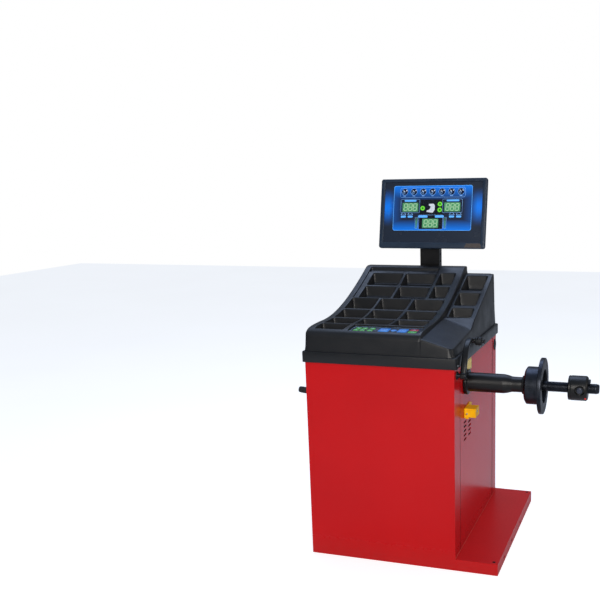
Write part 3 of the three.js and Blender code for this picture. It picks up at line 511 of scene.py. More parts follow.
def copper_winding():
    """Enamelled copper wire: amber brown turns about 3 mm apart round the coil."""
    material, tree, shader, coords = blank_material(
        "copper_wire_enamelled", {"Metallic": 0.85, "Coat Weight": 0.4}
    )
    turns = add_node(
        tree, "ShaderNodeTexWave", {"Vector": coords, "Scale": 106.0}, bands_direction="X"
    )
    colour = add_node(
        tree, "ShaderNodeMix", {0: turns.outputs[1], 6: linear("#5d2a12"), 7: linear("#b5642c")},
        data_type="RGBA",
    )
    roughness = add_node(
        tree, "ShaderNodeMapRange", {"Value": turns.outputs[1], "To Min": 0.5, "To Max": 0.25}
    )
    bump = add_node(
        tree, "ShaderNodeBump", {"Height": turns.outputs[1], "Distance": 0.4 * MM, "Strength": 1.0}
    )
    wire(
        tree,
        shader,
        {"Base Color": colour.outputs[2], "Roughness": roughness.outputs[0], "Normal": bump.outputs[0]},
    )
    return material


def studio_floor():
    """Matt painted board: pale and plain. It looks whiter than the light that it throws back, as the
    wall behind does, so that the machine's shiny side stays red."""
    material = layered("studio_board_pale", "#e4e4e3", "#e0e0df", 900, (0.7, 0.8), 20.0, 0.01)
    tree = material.node_tree
    shader = tree.nodes["Principled BSDF"]
    path = add_node(tree, "ShaderNodeLightPath")
    glow = add_node(tree, "ShaderNodeMath", {0: path.outputs["Is Camera Ray"], 1: 0.62}, operation="MULTIPLY")
    shader.inputs["Emission Color"].default_value = (1.0, 1.0, 1.0, 1.0)
    tree.links.new(glow.outputs[0], shader.inputs["Emission Strength"])
    return material


FINISHES = {
    "red_powder_coat": red_powder_coat,
    "moulded_abs": moulded_abs,
    "black_semi_gloss": black_semi_gloss,
    "moulded_nylon": moulded_nylon,
    "yellow_enamel": yellow_enamel,
    "peg_sleeve": peg_sleeve,
    "keypad_film": keypad_film,
    "key_green": lambda: printed_key("key_ink_green", "#58b84c", "#4aa83f"),
    "key_blue": lambda: printed_key("key_ink_blue", "#3f97f0", "#2f83e0"),
    "key_red": lambda: printed_key("key_ink_red", "#c0304a", "#aa263d"),
    "key_mark": lambda: printed_key("key_ink_pale", "#b9dcff", "#a5cbf2"),
    "cast_iron": cast_iron,
    "sensor_ceramic": sensor_ceramic,
    "bright_steel": bright_steel,
    "bearing_steel": bearing_steel,
    "black_oxide": black_oxide,
    "worn_flange_face": worn_flange_face,
    "zinc_plate": zinc_plate,
    "screw_steel": screw_steel,
    "black_screw": black_screw,
    "solder_mask": solder_mask,
    "belt_rubber": belt_rubber,
    "button_plastic": button_plastic,
    "monitor_plastic": monitor_plastic,
    "display_print": display_print,
    "display_field": display_field,
    "display_outline": lambda: lit_print("display_line_pale_blue", "#8fc4ff", "#7db5f5", 0.25),
    "display_bar": lambda: lit_print("display_bar_blue", "#5fb0ff", "#55a4f2", 0.4),
    "display_dark": lambda: lit_print("display_window_dark", "#0a0f1c", "#0d1424", 0.0),
    "display_shadow": lambda: lit_print("display_disc_navy", "#0d1a36", "#101f40", 0.0),
    "display_white": lambda: lit_print("display_ink_white", "#dfe4ec", "#c3cbd8", 0.15),
    "blank_plate": lambda: lit_print("blank_plate_grey_brown", "#57504d", "#4c4644", 0.0),
    "readout_glass": lambda: lit_print("readout_glass_green", "#519a68", "#498f5f", 0.25),
    "readout_segment": lambda: lit_print("readout_segment_pale_green", "#b9dcb4", "#a9d0a5", 0.15),
    "signal_green": lambda: lit_print("signal_lamp_green", "#6fd43a", "#62c92f", 0.35),
    "signal_core": lambda: lit_print("signal_lamp_core", "#1f8a1a", "#1b7d17", 0.1),
    "signal_red": lambda: lit_print("indicator_paint_red", "#e8261c", "#d81f16", 0.0),
    "rocker_plastic": rocker_plastic,
    "sticker_film": sticker_film,
    # Painted shadow: a dark red strip that stands for the shade inside a panel seam.
    "seam_shadow": lambda: layered("painted_seam_shadow", "#4c0507", "#400406", 20, (0.7, 0.8), 2.0, 0.01, MATT),
    # Painted highlight: a pale red strip that stands for the light caught by the rounded fold at the side
    # panel's foot.
    "painted_fold_highlight": lambda: layered("enamel_painted_fold_highlight", "#d8584f", "#c84b44", 20, (0.3, 0.4), 2.0, 0.01, SATIN),
    "copper_winding": copper_winding,
    "studio_floor": studio_floor,
}
MADE_FINISHES = {}


def finish(name):
    """The material of one finish, made the first time that it is asked for."""
    if name not in MADE_FINISHES:
        MADE_FINISHES[name] = FINISHES[name]()
    return MADE_FINISHES[name]

# ---------------------------------------------------------------- surfaces


def placed(points):
    """Working millimetres to frame metres: the cabinet's foot plus a thousandth of each point."""
    return ORIGIN + np.asarray(points, float).reshape(-1, 3) * MM


def lattice(rows, columns, close_rows=False, close_columns=False):
    """Quads of a grid whose point (i, j) has the number i * columns + j. In a closed direction the
    last line is joined to the first."""
    i, j = np.meshgrid(
        np.arange(rows if close_rows else rows - 1),
        np.arange(columns if close_columns else columns - 1),
        indexing="ij",
    )
    below, beside = (i + 1) % rows, (j + 1) % columns
    corners = [i * columns + j, below * columns + j, below * columns + beside, i * columns + beside]
    return np.stack(corners, -1).reshape(-1, 4).tolist()


def smooth_curve(points, count):
    """Catmull-Rom curve: between two points it is the cubic whose end slopes are half the step
    from each point's neighbour before to its neighbour after."""
    p = np.asarray(points, float)
    p = np.vstack([2 * p[0] - p[1], p, 2 * p[-1] - p[-2]])
    s = np.linspace(0, len(points) - 1, count)
    k = np.minimum(s.astype(int), len(points) - 2)
    t = (s - k)[:, None]
    a, b, c, d = p[k], p[k + 1], p[k + 2], p[k + 3]
    return 0.5 * (2 * b + (c - a) * t + (2 * a - 5 * b + 4 * c - d) * t**2 + (3 * b - a - 3 * c + d) * t**3)


def filleted(profile, radius, steps=4):
    """Rounds each inner corner of an open profile: the corner becomes an arc, drawn as a quadratic
    curve between the points one cut-back away on either side; the cut-back is never over 45% of a side."""
    p = np.asarray(profile, float)
    into, out = p[1:-1] - p[:-2], p[2:] - p[1:-1]
    long_in, long_out = np.linalg.norm(into, axis=1), np.linalg.norm(out, axis=1)
    cut = np.minimum(radius, 0.45 * np.minimum(long_in, long_out))[:, None]
    start = p[1:-1] - into / long_in[:, None] * cut
    end = p[1:-1] + out / long_out[:, None] * cut
    t = np.linspace(0, 1, steps + 1)[None, :, None]
    arcs = start[:, None] * (1 - t) ** 2 + 2 * p[1:-1][:, None] * t * (1 - t) + end[:, None] * t**2
    return np.vstack([p[:1], arcs.reshape(-1, 2), p[-1:]])


def turned(profile, sides=96, shape=None):
    """Solid of revolution about the X axis: the point at station x and angle a is
    (x, r cos a, r sin a). shape(x, r, a) may change the radius. The profile starts and ends on the
    axis, or comes back to its first point."""
    p = np.asarray(profile, float)
    closed = np.allclose(p[0], p[-1])
    p = p[:-1] if closed else p
    angle = np.linspace(0, 2 * np.pi, sides, endpoint=False)
    x = np.repeat(p[:, :1], sides, axis=1)
    r = np.repeat(p[:, 1:], sides, axis=1)
    a = np.repeat(angle[None], len(p), axis=0)
    r = r if shape is None else shape(x, r, a)
    points = np.stack([x, r * np.cos(a), r * np.sin(a)], -1).reshape(-1, 3)
    return points, lattice(len(p), sides, close_rows=closed, close_columns=True)


def lofted(loops, ring=False):
    """Skin through closed loops of the same number of points: a grid between neighbours, with a flat
    cap on the first and the last loop, or joined end to end into a ring."""
    loops = np.asarray(loops, float)
    rows, columns = loops.shape[:2]
    faces = lattice(rows, columns, close_rows=ring, close_columns=True)
    if not ring:
        faces.append(list(range(columns))[::-1])
        faces.append(list(range((rows - 1) * columns, rows * columns)))
    return loops.reshape(-1, 3), faces


def rounded_outline(u, v, radius, steps=5):
    """Rectangle between two limits each way with its corners as quarter circles, anticlockwise."""
    turn = np.linspace(0, np.pi / 2, steps + 1)
    arcs = []
    for cu, cv, start in ((u[1], v[1], 0), (u[0], v[1], 1), (u[0], v[0], 2), (u[1], v[0], 3)):
        a = turn + start * np.pi / 2
        inward = (-radius if cu == u[1] else radius, -radius if cv == v[1] else radius)
        arcs.append(np.stack([cu + inward[0] + radius * np.cos(a), cv + inward[1] + radius * np.sin(a)], -1))
    return np.vstack(arcs)


def soft_slab(u, v, w, corner, edge, steps=4, steps_corner=5):
    """Slab between two limits each way, with corners rounded in plan and a quarter-round edge on its
    upper face: each loop is drawn in by edge (1 - cos t) while it rises by edge sin t."""
    t = np.linspace(0, np.pi / 2, steps + 1)
    inset = np.concatenate([[0], edge * (1 - np.cos(t))])
    level = np.concatenate([[w[0]], w[1] - edge + edge * np.sin(t)])
    loops = []
    for draw, height in zip(inset, level):
        flat = rounded_outline(
            (u[0] + draw, u[1] - draw), (v[0] + draw, v[1] - draw), max(corner - draw, 0.05), steps_corner
        )
        loops.append(np.column_stack([flat, np.full(len(flat), height)]))
    return lofted(loops)


def flat_tile(outline, w):
    """Thin plate: an outline in the plane, carried from one level to the other."""
    outline = np.asarray(outline, float)
    return lofted([np.column_stack([outline, np.full(len(outline), level)]) for level in w])


def flat_ring(outer, inner, w):
    """Thin frame between two outlines with the same number of points."""
    loops = [
        np.column_stack([outer, np.full(len(outer), w[0])]),
        np.column_stack([outer, np.full(len(outer), w[1])]),
        np.column_stack([inner, np.full(len(inner), w[1])]),
        np.column_stack([inner, np.full(len(inner), w[0])]),
    ]
    return lofted(loops, ring=True)


def circle_outline(centre, radius, sides=28):
    a = np.linspace(0, 2 * np.pi, sides, endpoint=False)
    return np.stack([centre[0] + radius * np.cos(a), centre[1] + radius * np.sin(a)], -1)


def screw(radius, sides=24):
    """Button head: a dome whose radius falls as R cos t while it rises by 0.55 R sin t, then a
    six-sided socket whose radius is a / cos of the angle to the nearest flat's middle."""
    t = np.linspace(0, 1.15, 6)
    flat = 0.42 * radius
    top = 0.55 * radius * np.sin(1.15)
    profile = [(-0.3 * radius, 0), (-0.3 * radius, radius)]
    profile += list(zip(0.55 * radius * np.sin(t), radius * (0.2 + 0.8 * np.cos(t))))
    socket = [(top, 1.15 * flat), (top - 0.06 * radius, flat), (0.1 * radius, flat), (0.1 * radius, 0)]
    first_socket_station = len(profile)

    def six_sided(x, r, a):
        rows = np.arange(len(x))[:, None] > first_socket_station
        to_flat = np.mod(a, np.pi / 3) - np.pi / 6
        return np.where(rows, r / np.cos(to_flat), r)

    return turned(profile + socket, sides, six_sided)


# Turns that carry the X axis of a turned piece, or the W axis of a slab, to another direction.
X_TO = {
    "right": np.eye(3),
    "left": np.array([[-1, 0, 0], [0, -1, 0], [0, 0, 1]]),
    "front": np.array([[0, 1, 0], [-1, 0, 0], [0, 0, 1]]),
    "back": np.array([[0, -1, 0], [1, 0, 0], [0, 0, 1]]),
    "up": np.array([[0, 0, -1], [0, 1, 0], [1, 0, 0]]),
}
W_TO = {
    "up": np.eye(3),
    "front": np.array([[1, 0, 0], [0, 0, -1], [0, 1, 0]]),
    "back": np.array([[-1, 0, 0], [0, 0, 1], [0, 1, 0]]),
    "right": np.array([[0, 0, 1], [1, 0, 0], [0, 1, 0]]),
    "left": np.array([[0, 0, -1], [-1, 0, 0], [0, 1, 0]]),
}


def moved(surface, turn=np.eye(3), to=(0, 0, 0)):
    points, faces = surface
    return points @ np.asarray(turn, float).T + np.asarray(to, float), faces


def leaned(surface, centre, angle):
    """Turns a surface about the X direction by an angle, then carries it to a centre."""
    c, s = np.cos(angle), np.sin(angle)
    return moved(surface, [[1, 0, 0], [0, c, -s], [0, s, c]], centre)


def on_monitor(surface):
    """A surface in the display's own axes, leaned back with it about its middle."""
    return leaned(surface, MONITOR, MONITOR_LEAN)


class Piece:
    """One object in the making: closed surfaces in working millimetres, each with its finish."""

    def __init__(self, name):
        self.name = name
        self.surfaces = []

    def add(self, surface, finish_name):
        self.surfaces.append((surface, finish_name))
        return self

    def done(self, body, slot, *replaced, sharp=40):
        """Joins the surfaces into one mesh, welds poles, turns the faces outward, smooths all but the
        sharp corners, and hangs the object on its body."""
        names = list(dict.fromkeys(finish_name for _, finish_name in self.surfaces))
        points, faces, kinds, start = [], [], [], 0
        for (cloud, quads), finish_name in self.surfaces:
            points.append(cloud)
            faces += (np.array(quads) + start).tolist() if len({len(q) for q in quads}) == 1 else [
                [corner + start for corner in quad] for quad in quads
            ]
            kinds += [names.index(finish_name)] * len(quads)
            start += len(cloud)
        mesh = bpy.data.meshes.new(self.name)
        mesh.from_pydata(placed(np.vstack(points)).tolist(), [], faces)
        mesh.polygons.foreach_set("material_index", kinds)
        for finish_name in names:
            mesh.materials.append(finish(finish_name))
        shell = bmesh.new()
        shell.from_mesh(mesh)
        bmesh.ops.remove_doubles(shell, verts=shell.verts, dist=1e-7)
        bmesh.ops.recalc_face_normals(shell, faces=shell.faces)
        shell.to_mesh(mesh)
        shell.free()
        return hang(mesh, self.name, body, replaced, sharp)


def hang(mesh, name, body, replaced, sharp):
    """Makes a mesh an object that rides on a body and stands for the nodes that it replaces."""
    mesh.shade_smooth()
    mesh.set_sharp_from_angle(angle=np.radians(sharp))
    piece = bpy.data.objects.new(name, mesh)
    bpy.context.scene.collection.objects.link(piece)
    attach(piece, body)
    if replaced:
        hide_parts(*replaced)
    return piece


def softened(node, edge_mm, finish_name, segments=2):
    """A node's own shape with its edges eased: a copy is welded, its flat neighbours are joined, and a
    bevel rounds every corner over 30 degrees."""
    shell = bmesh.new()
    shell.from_mesh(frame["nodes"][node].data)
    bmesh.ops.remove_doubles(shell, verts=shell.verts, dist=2e-6)
    bmesh.ops.dissolve_limit(shell, angle_limit=np.radians(0.6), verts=shell.verts, edges=shell.edges)
    bmesh.ops.recalc_face_normals(shell, faces=shell.faces)
    mesh = bpy.data.meshes.new(f"{node}_eased")
    shell.to_mesh(mesh)
    shell.free()
    mesh.materials.append(finish(finish_name))
    piece = hang(mesh, f"{node}_eased", BODY_OF[node], (node,), 30)
    bevel = piece.modifiers.new("eased_edges", "BEVEL")
    bevel.width = edge_mm * MM
    bevel.segments = segments
    bevel.limit_method = "ANGLE"
    bevel.angle_limit = np.radians(30)
    bevel.harden_normals = True
    return piece


# ---------------------------------------------------------------- values a user may change


class BalancerSizes(bpy.types.PropertyGroup):
    thread_pitch: FloatProperty(
        name="Thread pitch",
        description="Step of the shaft's thread", default=0.0035, min=0.002, subtype="DISTANCE",
    )
    pocket_rim: FloatProperty(
        name="Pocket rim",
        description="Radius of each compartment's rim", default=0.0038, min=0.001, subtype="DISTANCE",
    )
    sheet_edge: FloatProperty(
        name="Sheet edge",
        description="Rounding of the sheet steel edges", default=0.0009, min=0.0002, subtype="DISTANCE",
    )
    key_crown: FloatProperty(
        name="Key crown",
        description="Rounding of each key's upper edge", default=0.0006, min=0.0001, subtype="DISTANCE",
    )
    corner_steps: IntProperty(
        name="Bezel steps", description="Steps round each display corner", default=7, min=3
    )


class BalancerColours(bpy.types.PropertyGroup):
    enamel: FloatVectorProperty(
        name="Enamel",
        description="Powder coat of the cabinet", default=linear("#cf0f14")[:3], subtype="COLOR",
    )
    enamel_shade: FloatVectorProperty(
        name="Enamel shade",
        description="Where the coat is thicker", default=linear("#bd0c11")[:3], subtype="COLOR",
    )
    tray: FloatVectorProperty(
        name="Tray", description="Moulded weight tray", default=linear("#101215")[:3], subtype="COLOR"
    )
    stop_block: FloatVectorProperty(
        name="Stop block",
        description="Block on the right side", default=linear("#ffc400")[:3], subtype="COLOR",
    )

# ---------------------------------------------------------------- weight tray

TRAY_BASE = 781.7  # flat ledge of the moulding, just under the skirt's top
SKIRT_TOP = 782.0
SKIRT_FOOT = 742.3
SKIRT_X = (-9.5, 566.5)
SKIRT_Y = (-9.5, 706.0)
DECK_X = (3.0, 437.0)
SIDE_X = (425.0, 553.0)
WING_START = 395.0
TRAY_BACK = 698.0
TRAY_END = TRAY_BACK + 4.5  # past the foot of the leaning back wall, on the skirt's ledge
TRAY_RIGHT = 561.0  # foot of the right wall
DECK_RAIL = [
    (1, 838), (14, 855), (47, 865), (120, 868.5), (180, 869), (245, 875), (318, 889),
    (395, 911), (475, 940), (542, 968), (611, 999), (642, 1014.5), (664, 1021), (699, 1021),
]
LOWER_ROWS = [(30, 102), (113, 207), (219, 311), (323, 415)]
LOWER_COLUMNS = [(30, 141), (153, 277), (290, 412)]
UPPER_ROWS = [(428, 515), (527, 612)]
UPPER_COLUMNS = [(50, 183), (196, 325), (344, 408)]
SIDE_ROWS = [(342, 406), (425, 518), (538, 653)]
SIDE_COLUMN = (447, 533)
STEP_X, STEP_Y = (28, 330), (420, 646)
LEDGE_X, LEDGE_Y = (30, 328), (622, 645)


def pockets():
    """Every compartment as x limits, y limits, depth and which deck it is sunk into."""
    found = [(LOWER_COLUMNS[0], LOWER_ROWS[0], 34, "deck")]
    found += [(x, y, 32, "deck") for y in LOWER_ROWS[1:] for x in LOWER_COLUMNS]
    found += [(x, y, 26, "deck") for y in UPPER_ROWS for x in UPPER_COLUMNS]
    return found + [(SIDE_COLUMN, y, 30, "side") for y in SIDE_ROWS]


def deck_height(y):
    curve = smooth_curve(DECK_RAIL, 240)
    return np.interp(y, curve[:, 0], curve[:, 1])


def side_height(x, y):
    """Height of the right side: a sloping shoulder, a steep facet up to the side bank, then the
    bank's ramp and its flat top, each a plane and each taken where it is the upper one."""
    shoulder = 847 - 0.2812 * (x - 425) + 0.0725 * (y - 10)
    facet = np.minimum(824 - 0.1555 * (x - 553) + 0.5857 * (y - 268), 865)
    bank = np.minimum(992, 864 + 0.387 * (y - 337))
    return np.where(y < 337, np.maximum(shoulder, facet), bank)


def inside(x, y, limits_x, limits_y, corner):
    """Distance inside a rectangle with rounded corners, negative outside."""
    mid = ((limits_x[0] + limits_x[1]) / 2, (limits_y[0] + limits_y[1]) / 2)
    half = ((limits_x[1] - limits_x[0]) / 2 - corner, (limits_y[1] - limits_y[0]) / 2 - corner)
    qx, qy = np.abs(x - mid[0]) - half[0], np.abs(y - mid[1]) - half[1]
    return corner - np.hypot(np.maximum(qx, 0), np.maximum(qy, 0)) - np.minimum(np.maximum(qx, qy), 0)


def raised(distance, top, lean, rim):
    """Moulded body over the ledge: a wall that climbs over `lean`, a quarter round of radius `rim`,
    then the top."""
    wall = TRAY_BASE + (top - rim - TRAY_BASE) * np.clip(distance / lean + 1, 0, 1)
    round_over = top - rim + np.sqrt(np.maximum(rim**2 - np.clip(rim - distance, 0, rim) ** 2, 0))
    return np.where(distance < 0, wall, round_over)


def sunk(distance, depth, lean, rim, floor_blend=6.0):
    """Drop of a pocket under its deck: a quarter round rim outside the edge, a leaning wall, and a
    floor met through a smooth minimum of the wall and the depth."""
    lip = rim - np.sqrt(np.maximum(rim**2 - np.clip(distance + rim, 0, rim) ** 2, 0))
    wall = rim + distance * depth / lean
    h = np.clip(0.5 + 0.5 * (depth - wall) / floor_blend, 0, 1)
    foot = depth * (1 - h) + wall * h - floor_blend * h * (1 - h)
    return np.where(distance < 0, lip, foot)


def grid_lines(edges, low, high, spread, gap=14.0):
    """Lines of a grid: close together on both sides of each edge, and never further apart than gap."""
    lines = np.concatenate([[low, high]] + [edge + side * spread for edge, side in edges])
    lines = np.unique(np.round(lines[(lines >= low) & (lines <= high)], 2))
    lines = lines[np.concatenate([[True], np.diff(lines) > 0.35])]
    lines[-1] = high
    steps = [np.linspace(a, b, int(np.ceil((b - a) / gap)) + 1)[:-1] for a, b in zip(lines[:-1], lines[1:])]
    return np.concatenate(steps + [[high]])


def both_edges(pairs):
    """The low and the high edge of each pair, with the side of it that the material is on."""
    return [(edge, side) for pair in pairs for edge, side in zip(pair, (1, -1))]


def tray_surface():
    """The moulding's upper face as a height over its plan, with the same face 2.4 mm lower as its
    underside and a band round the edge."""
    rim = bpy.context.scene.balancer_sizes.pocket_rim / MM
    spread = np.array([-rim, -0.72 * rim, -0.38 * rim, -0.1 * rim, 0.5, 2.2, 4.4, 6.2, 8.4])
    wall = np.array([-4.0, -2.0, 0.0, 0.35, 1.2, 2.6, 4.5, 6.5])
    edges_x = both_edges(LOWER_COLUMNS + UPPER_COLUMNS + [SIDE_COLUMN])
    edges_y = both_edges(LOWER_ROWS + UPPER_ROWS + SIDE_ROWS)
    border_x = [(DECK_X[0], 1), (DECK_X[1], -1), (SIDE_X[1], -1), (STEP_X[0], 1), (STEP_X[1], -1)]
    border_y = [(1.0, 1), (14.0, 1), (TRAY_BACK - 1, -1), (STEP_Y[0], 1), (LEDGE_Y[0], 1), (LEDGE_Y[1], -1)]
    border_x += [(KEYPAD[0] - KEYPAD_SIZE[0] / 2 - 1, 1), (KEYPAD[0] + KEYPAD_SIZE[0] / 2 + 1, -1)]
    border_y += [(KEYPAD[1] - KEYPAD_SIZE[1] / 2 - 1, 1), (KEYPAD[1] + KEYPAD_SIZE[1] / 2 + 1, -1)]
    lines = []
    for edges, borders, end, gap in ((edges_x, border_x, TRAY_RIGHT, 600), (edges_y, border_y, TRAY_END, 800)):
        both = [grid_lines(edges, -4, end, spread), grid_lines(borders, -4, end, wall, gap)]
        along = np.unique(np.concatenate(both))
        lines.append(along[np.concatenate([[True], np.diff(along) > 0.3])])
    lines_x, lines_y = lines
    x, y = np.meshgrid(lines_x, lines_y, indexing="ij")

    deck = deck_height(y)
    deck = deck - sunk(inside(x, y, STEP_X, STEP_Y, 6), 5.0, 2.0, 2.0, 2.0)
    deck = deck - sunk(inside(x, y, LEDGE_X, LEDGE_Y, 4), 8.0, 3.0, 2.0, 2.0)
    side = side_height(x, y)
    for limits_x, limits_y, depth, kind in pockets():
        front = deck_height(limits_y[0]) if kind == "deck" else side_height(500.0, limits_y[0])
        back = deck_height(limits_y[1]) if kind == "deck" else side_height(500.0, limits_y[1])
        rise = 0.45 * (back - front) * (y - limits_y[0]) / (limits_y[1] - limits_y[0])
        surface = deck if kind == "deck" else side
        below = np.maximum(surface - (front - depth + rise), 4.0)
        drop = sunk(inside(x, y, limits_x, limits_y, 7), below, 7.0, rim)
        if kind == "deck":
            deck = deck - drop
        else:
            side = side - drop
    seat = KEYPAD[2] + np.tan(KEYPAD_TILT) * (y - KEYPAD[1]) - 3.5
    keypad_x = (KEYPAD[0] - KEYPAD_SIZE[0] / 2 - 1, KEYPAD[0] + KEYPAD_SIZE[0] / 2 + 1)
    keypad_y = (KEYPAD[1] - KEYPAD_SIZE[1] / 2 - 1, KEYPAD[1] + KEYPAD_SIZE[1] / 2 + 1)
    recess = inside(x, y, keypad_x, keypad_y, 3)
    to_seat = sunk(recess, np.maximum(deck - seat, 1.0), 0.6, 2.2, 1.0)
    deck = deck - to_seat
    main = raised(inside(x, y, DECK_X, (1.0, TRAY_BACK - 1), 9), deck, 4.0, 5.0)
    # The wing runs on under the deck as far as the last pocket, so the two share one front wall.
    under_deck = np.where(x < DECK_X[1], np.minimum(side, deck_height(y) - 2), side)
    wing = raised(inside(x, y, (WING_START, SIDE_X[1]), (1.0, TRAY_BACK - 3), 20), under_deck, 4.0, 5.0)
    wing = np.where(x < WING_START + 22, TRAY_BASE, wing)
    top = np.maximum(main, wing)

    rows, columns = x.shape
    upper = np.stack([x, y, top], -1).reshape(-1, 3)
    lower = upper - [0, 0, 2.4]
    quads = np.array(lattice(rows, columns))
    number = np.arange(rows * columns).reshape(rows, columns)
    edge = np.concatenate([number[0], number[1:, -1], number[-1, -2::-1], number[-2:0:-1, 0]])
    following = np.roll(edge, -1)
    count = rows * columns
    band = np.stack([edge, following, following + count, edge + count], -1)
    faces = np.vstack([quads, quads[:, ::-1] + count, band])
    return np.vstack([upper, lower]), faces.tolist()


def skirt_surface():
    """Skirt round the moulding: a section of ledge, quarter-round shoulder, outer wall and inner wall,
    carried round a rectangle with rounded corners."""
    t = np.linspace(0, np.pi / 2, 5)
    shoulder = 4.0
    section = [(9.0, SKIRT_TOP)]
    section += [(shoulder * (1 - np.sin(a)), SKIRT_TOP - shoulder * (1 - np.cos(a))) for a in t]
    section += [(0.0, SKIRT_FOOT + 1), (0.6, SKIRT_FOOT), (2.4, SKIRT_FOOT), (3.0, SKIRT_FOOT + 1)]
    section += [(3.0, SKIRT_TOP - 5), (5.0, SKIRT_TOP - 3), (9.0, SKIRT_TOP - 3)]
    loops = []
    for inset, level in section:
        along_x = (SKIRT_X[0] + inset, SKIRT_X[1] - inset)
        along_y = (SKIRT_Y[0] + inset, SKIRT_Y[1] - inset)
        flat = rounded_outline(along_x, along_y, max(10 - inset, 0.6))
        loops.append(np.column_stack([flat, np.full(len(flat), level)]))
    return lofted(loops, ring=True)


class BALANCER_OT_weight_tray(bpy.types.Operator):
    """Moulded weight tray: nineteen compartments, side bank, sloping shoulder and skirt"""

    bl_idname = "balancer.weight_tray"
    bl_label = "Weight tray"

    def execute(self, context):
        tray = Piece("weight_tray_moulding")
        tray.add(tray_surface(), "moulded_abs").add(skirt_surface(), "moulded_abs")
        tray.done("cabinet", "black_abs", "weight_tray", sharp=50)
        screws = Piece("tray_screws")
        for y, z in ((14, 753), (360, 753), (690, 753)):
            screws.add(moved(screw(4.2), X_TO["right"], (SKIRT_X[1] - 0.6, y, z)), "screw_steel")
            screws.add(moved(screw(4.2), X_TO["left"], (SKIRT_X[0] + 0.6, y, z)), "screw_steel")
        screws.done("cabinet", "zinc_steel")
        return {"FINISHED"}


# ---------------------------------------------------------------- cabinet

# Node, rounding of its edges in millimetres, finish and the record's slot.
SHEET_PARTS = [
    ("front_panel", 0.9, "red_powder_coat", "red_enamel"),
    ("left_side_panel", 0.9, "red_powder_coat", "red_enamel"),
    ("right_side_panel", 0.9, "red_powder_coat", "red_enamel"),
    ("rear_panel", 0.9, "red_powder_coat", "red_enamel"),
    ("base_tray", 0.9, "red_powder_coat", "red_enamel_base"),
]
BOXY_PARTS = [
    ("side_stop_block", 1.2, "yellow_enamel", "yellow_enamel"),
    ("monitor_post", 1.2, "black_semi_gloss", "black_enamel"),
    ("monitor_bracket", 0.8, "black_semi_gloss", "black_enamel"),
    ("monitor_yoke", 0.8, "black_semi_gloss", "black_enamel"),
    ("spindle_bracket", 2.0, "cast_iron", "cast_iron"),
    ("spindle_column", 2.5, "cast_iron", "cast_iron"),
    ("motor_bracket", 0.8, "cast_iron", "cast_iron"),
    ("gauge_carriage", 0.8, "moulded_nylon", "black_nylon"),
    ("gauge_rail", 0.5, "zinc_plate", "zinc_steel"),
    ("gauge_sensor", 0.6, "solder_mask", "circuit_board"),
    ("encoder_sensor", 0.5, "solder_mask", "circuit_board"),
    ("control_board", 0.4, "solder_mask", "circuit_board"),
    ("power_inlet", 0.8, "moulded_nylon", "black_nylon"),
    ("power_rocker", 0.8, "rocker_plastic", "rocker_plastic"),
    ("nut_jaw", 0.6, "black_oxide", "black_steel"),
    ("encoder_disc", 0.2, "black_oxide", "black_steel"),
]


SEAMS = ((79.5, 1.8), (629.0, 1.9), (635.0, 1.4))  # Y and half width of each seam on the right side, each drawn as a dark strip of painted shadow
SEAM_Z = (46, 740)
FOOT_HIGHLIGHT = ((6, 698), (44.2, 45.8))  # painted highlight: a pale strip along the fold where the side panel meets the base
SIDE_LABEL = ((173, 257), (691, 734))  # Y and Z
# The dark sleeves in the anchor holes are painted shade: they stand in for the shade inside each hole.
ANCHOR_HOLES = ((694, 17), (694, 711))
SLEEVE = [(-12, 5.2), (-12, 5.9), (0, 5.9), (0, 5.2), (-12, 5.2)]  # down from the base's top, and radius
SLEEVE_TOP = 43.4


class BALANCER_OT_cabinet(bpy.types.Operator):
    """Powder coated sheet steel cabinet and base with eased edges, screws, painted seam shadows, a painted
    fold highlight, dark anchor sleeves as painted shade, and a label
    """

    bl_idname = "balancer.cabinet"
    bl_label = "Cabinet and base"

    def execute(self, context):
        edge = context.scene.balancer_sizes.sheet_edge / MM
        for node, _, finish_name, slot in SHEET_PARTS:
            softened(node, edge, finish_name)
        screws = Piece("cabinet_screws")
        for z in (110, 420, 705):
            for x in (22, CABINET_W - 22):
                screws.add(moved(screw(5.5), X_TO["back"], (x, 702, z)), "black_screw")
        screws.add(moved(screw(4.2), X_TO["right"], (CABINET_W, 679, 712)), "screw_steel")
        screws.done("cabinet", "zinc_steel")
        # Dark strips of painted shadow along the seams, and a pale strip of painted highlight along the side
        # panel's foot.
        seams = Piece("painted_seam_shadows_and_fold_highlight")
        for y, width in SEAMS:
            strip = rounded_outline((y - width, y + width), SEAM_Z, 0.5, 2)
            seams.add(moved(flat_tile(strip, (-0.1, 0.12)), W_TO["right"], (CABINET_W, 0, 0)), "seam_shadow")
        highlight_strip = rounded_outline(*FOOT_HIGHLIGHT, 0.5, 2)
        seams.add(moved(flat_tile(highlight_strip, (-0.1, 0.8)), W_TO["right"], (CABINET_W, 0, 0)), "painted_fold_highlight")
        seams.done("cabinet", "red_enamel")
        # Dark sleeves in the anchor holes: painted shade that keeps each hole dark.
        sleeves = Piece("anchor_hole_shade_sleeves")
        for x, y in ANCHOR_HOLES:
            sleeves.add(moved(turned(SLEEVE, 32), X_TO["up"], (x, y, SLEEVE_TOP)), "moulded_nylon")
        sleeves.done("cabinet", "black_nylon")
        label = Piece("side_label")
        outline = rounded_outline(*SIDE_LABEL, 4)
        label.add(moved(flat_tile(outline, (0, 0.3)), W_TO["right"], (CABINET_W, 0, 0)), "sticker_film")
        border = [
            rounded_outline(*([low + inset, high - inset] for low, high in SIDE_LABEL), corner)
            for inset, corner in ((2.5, 2.5), (4, 1.5))
        ]
        label.add(moved(flat_ring(*border, (0.3, 0.4)), W_TO["right"], (CABINET_W, 0, 0)), "display_dark")
        label.done("cabinet", "yellow_enamel")
        return {"FINISHED"}


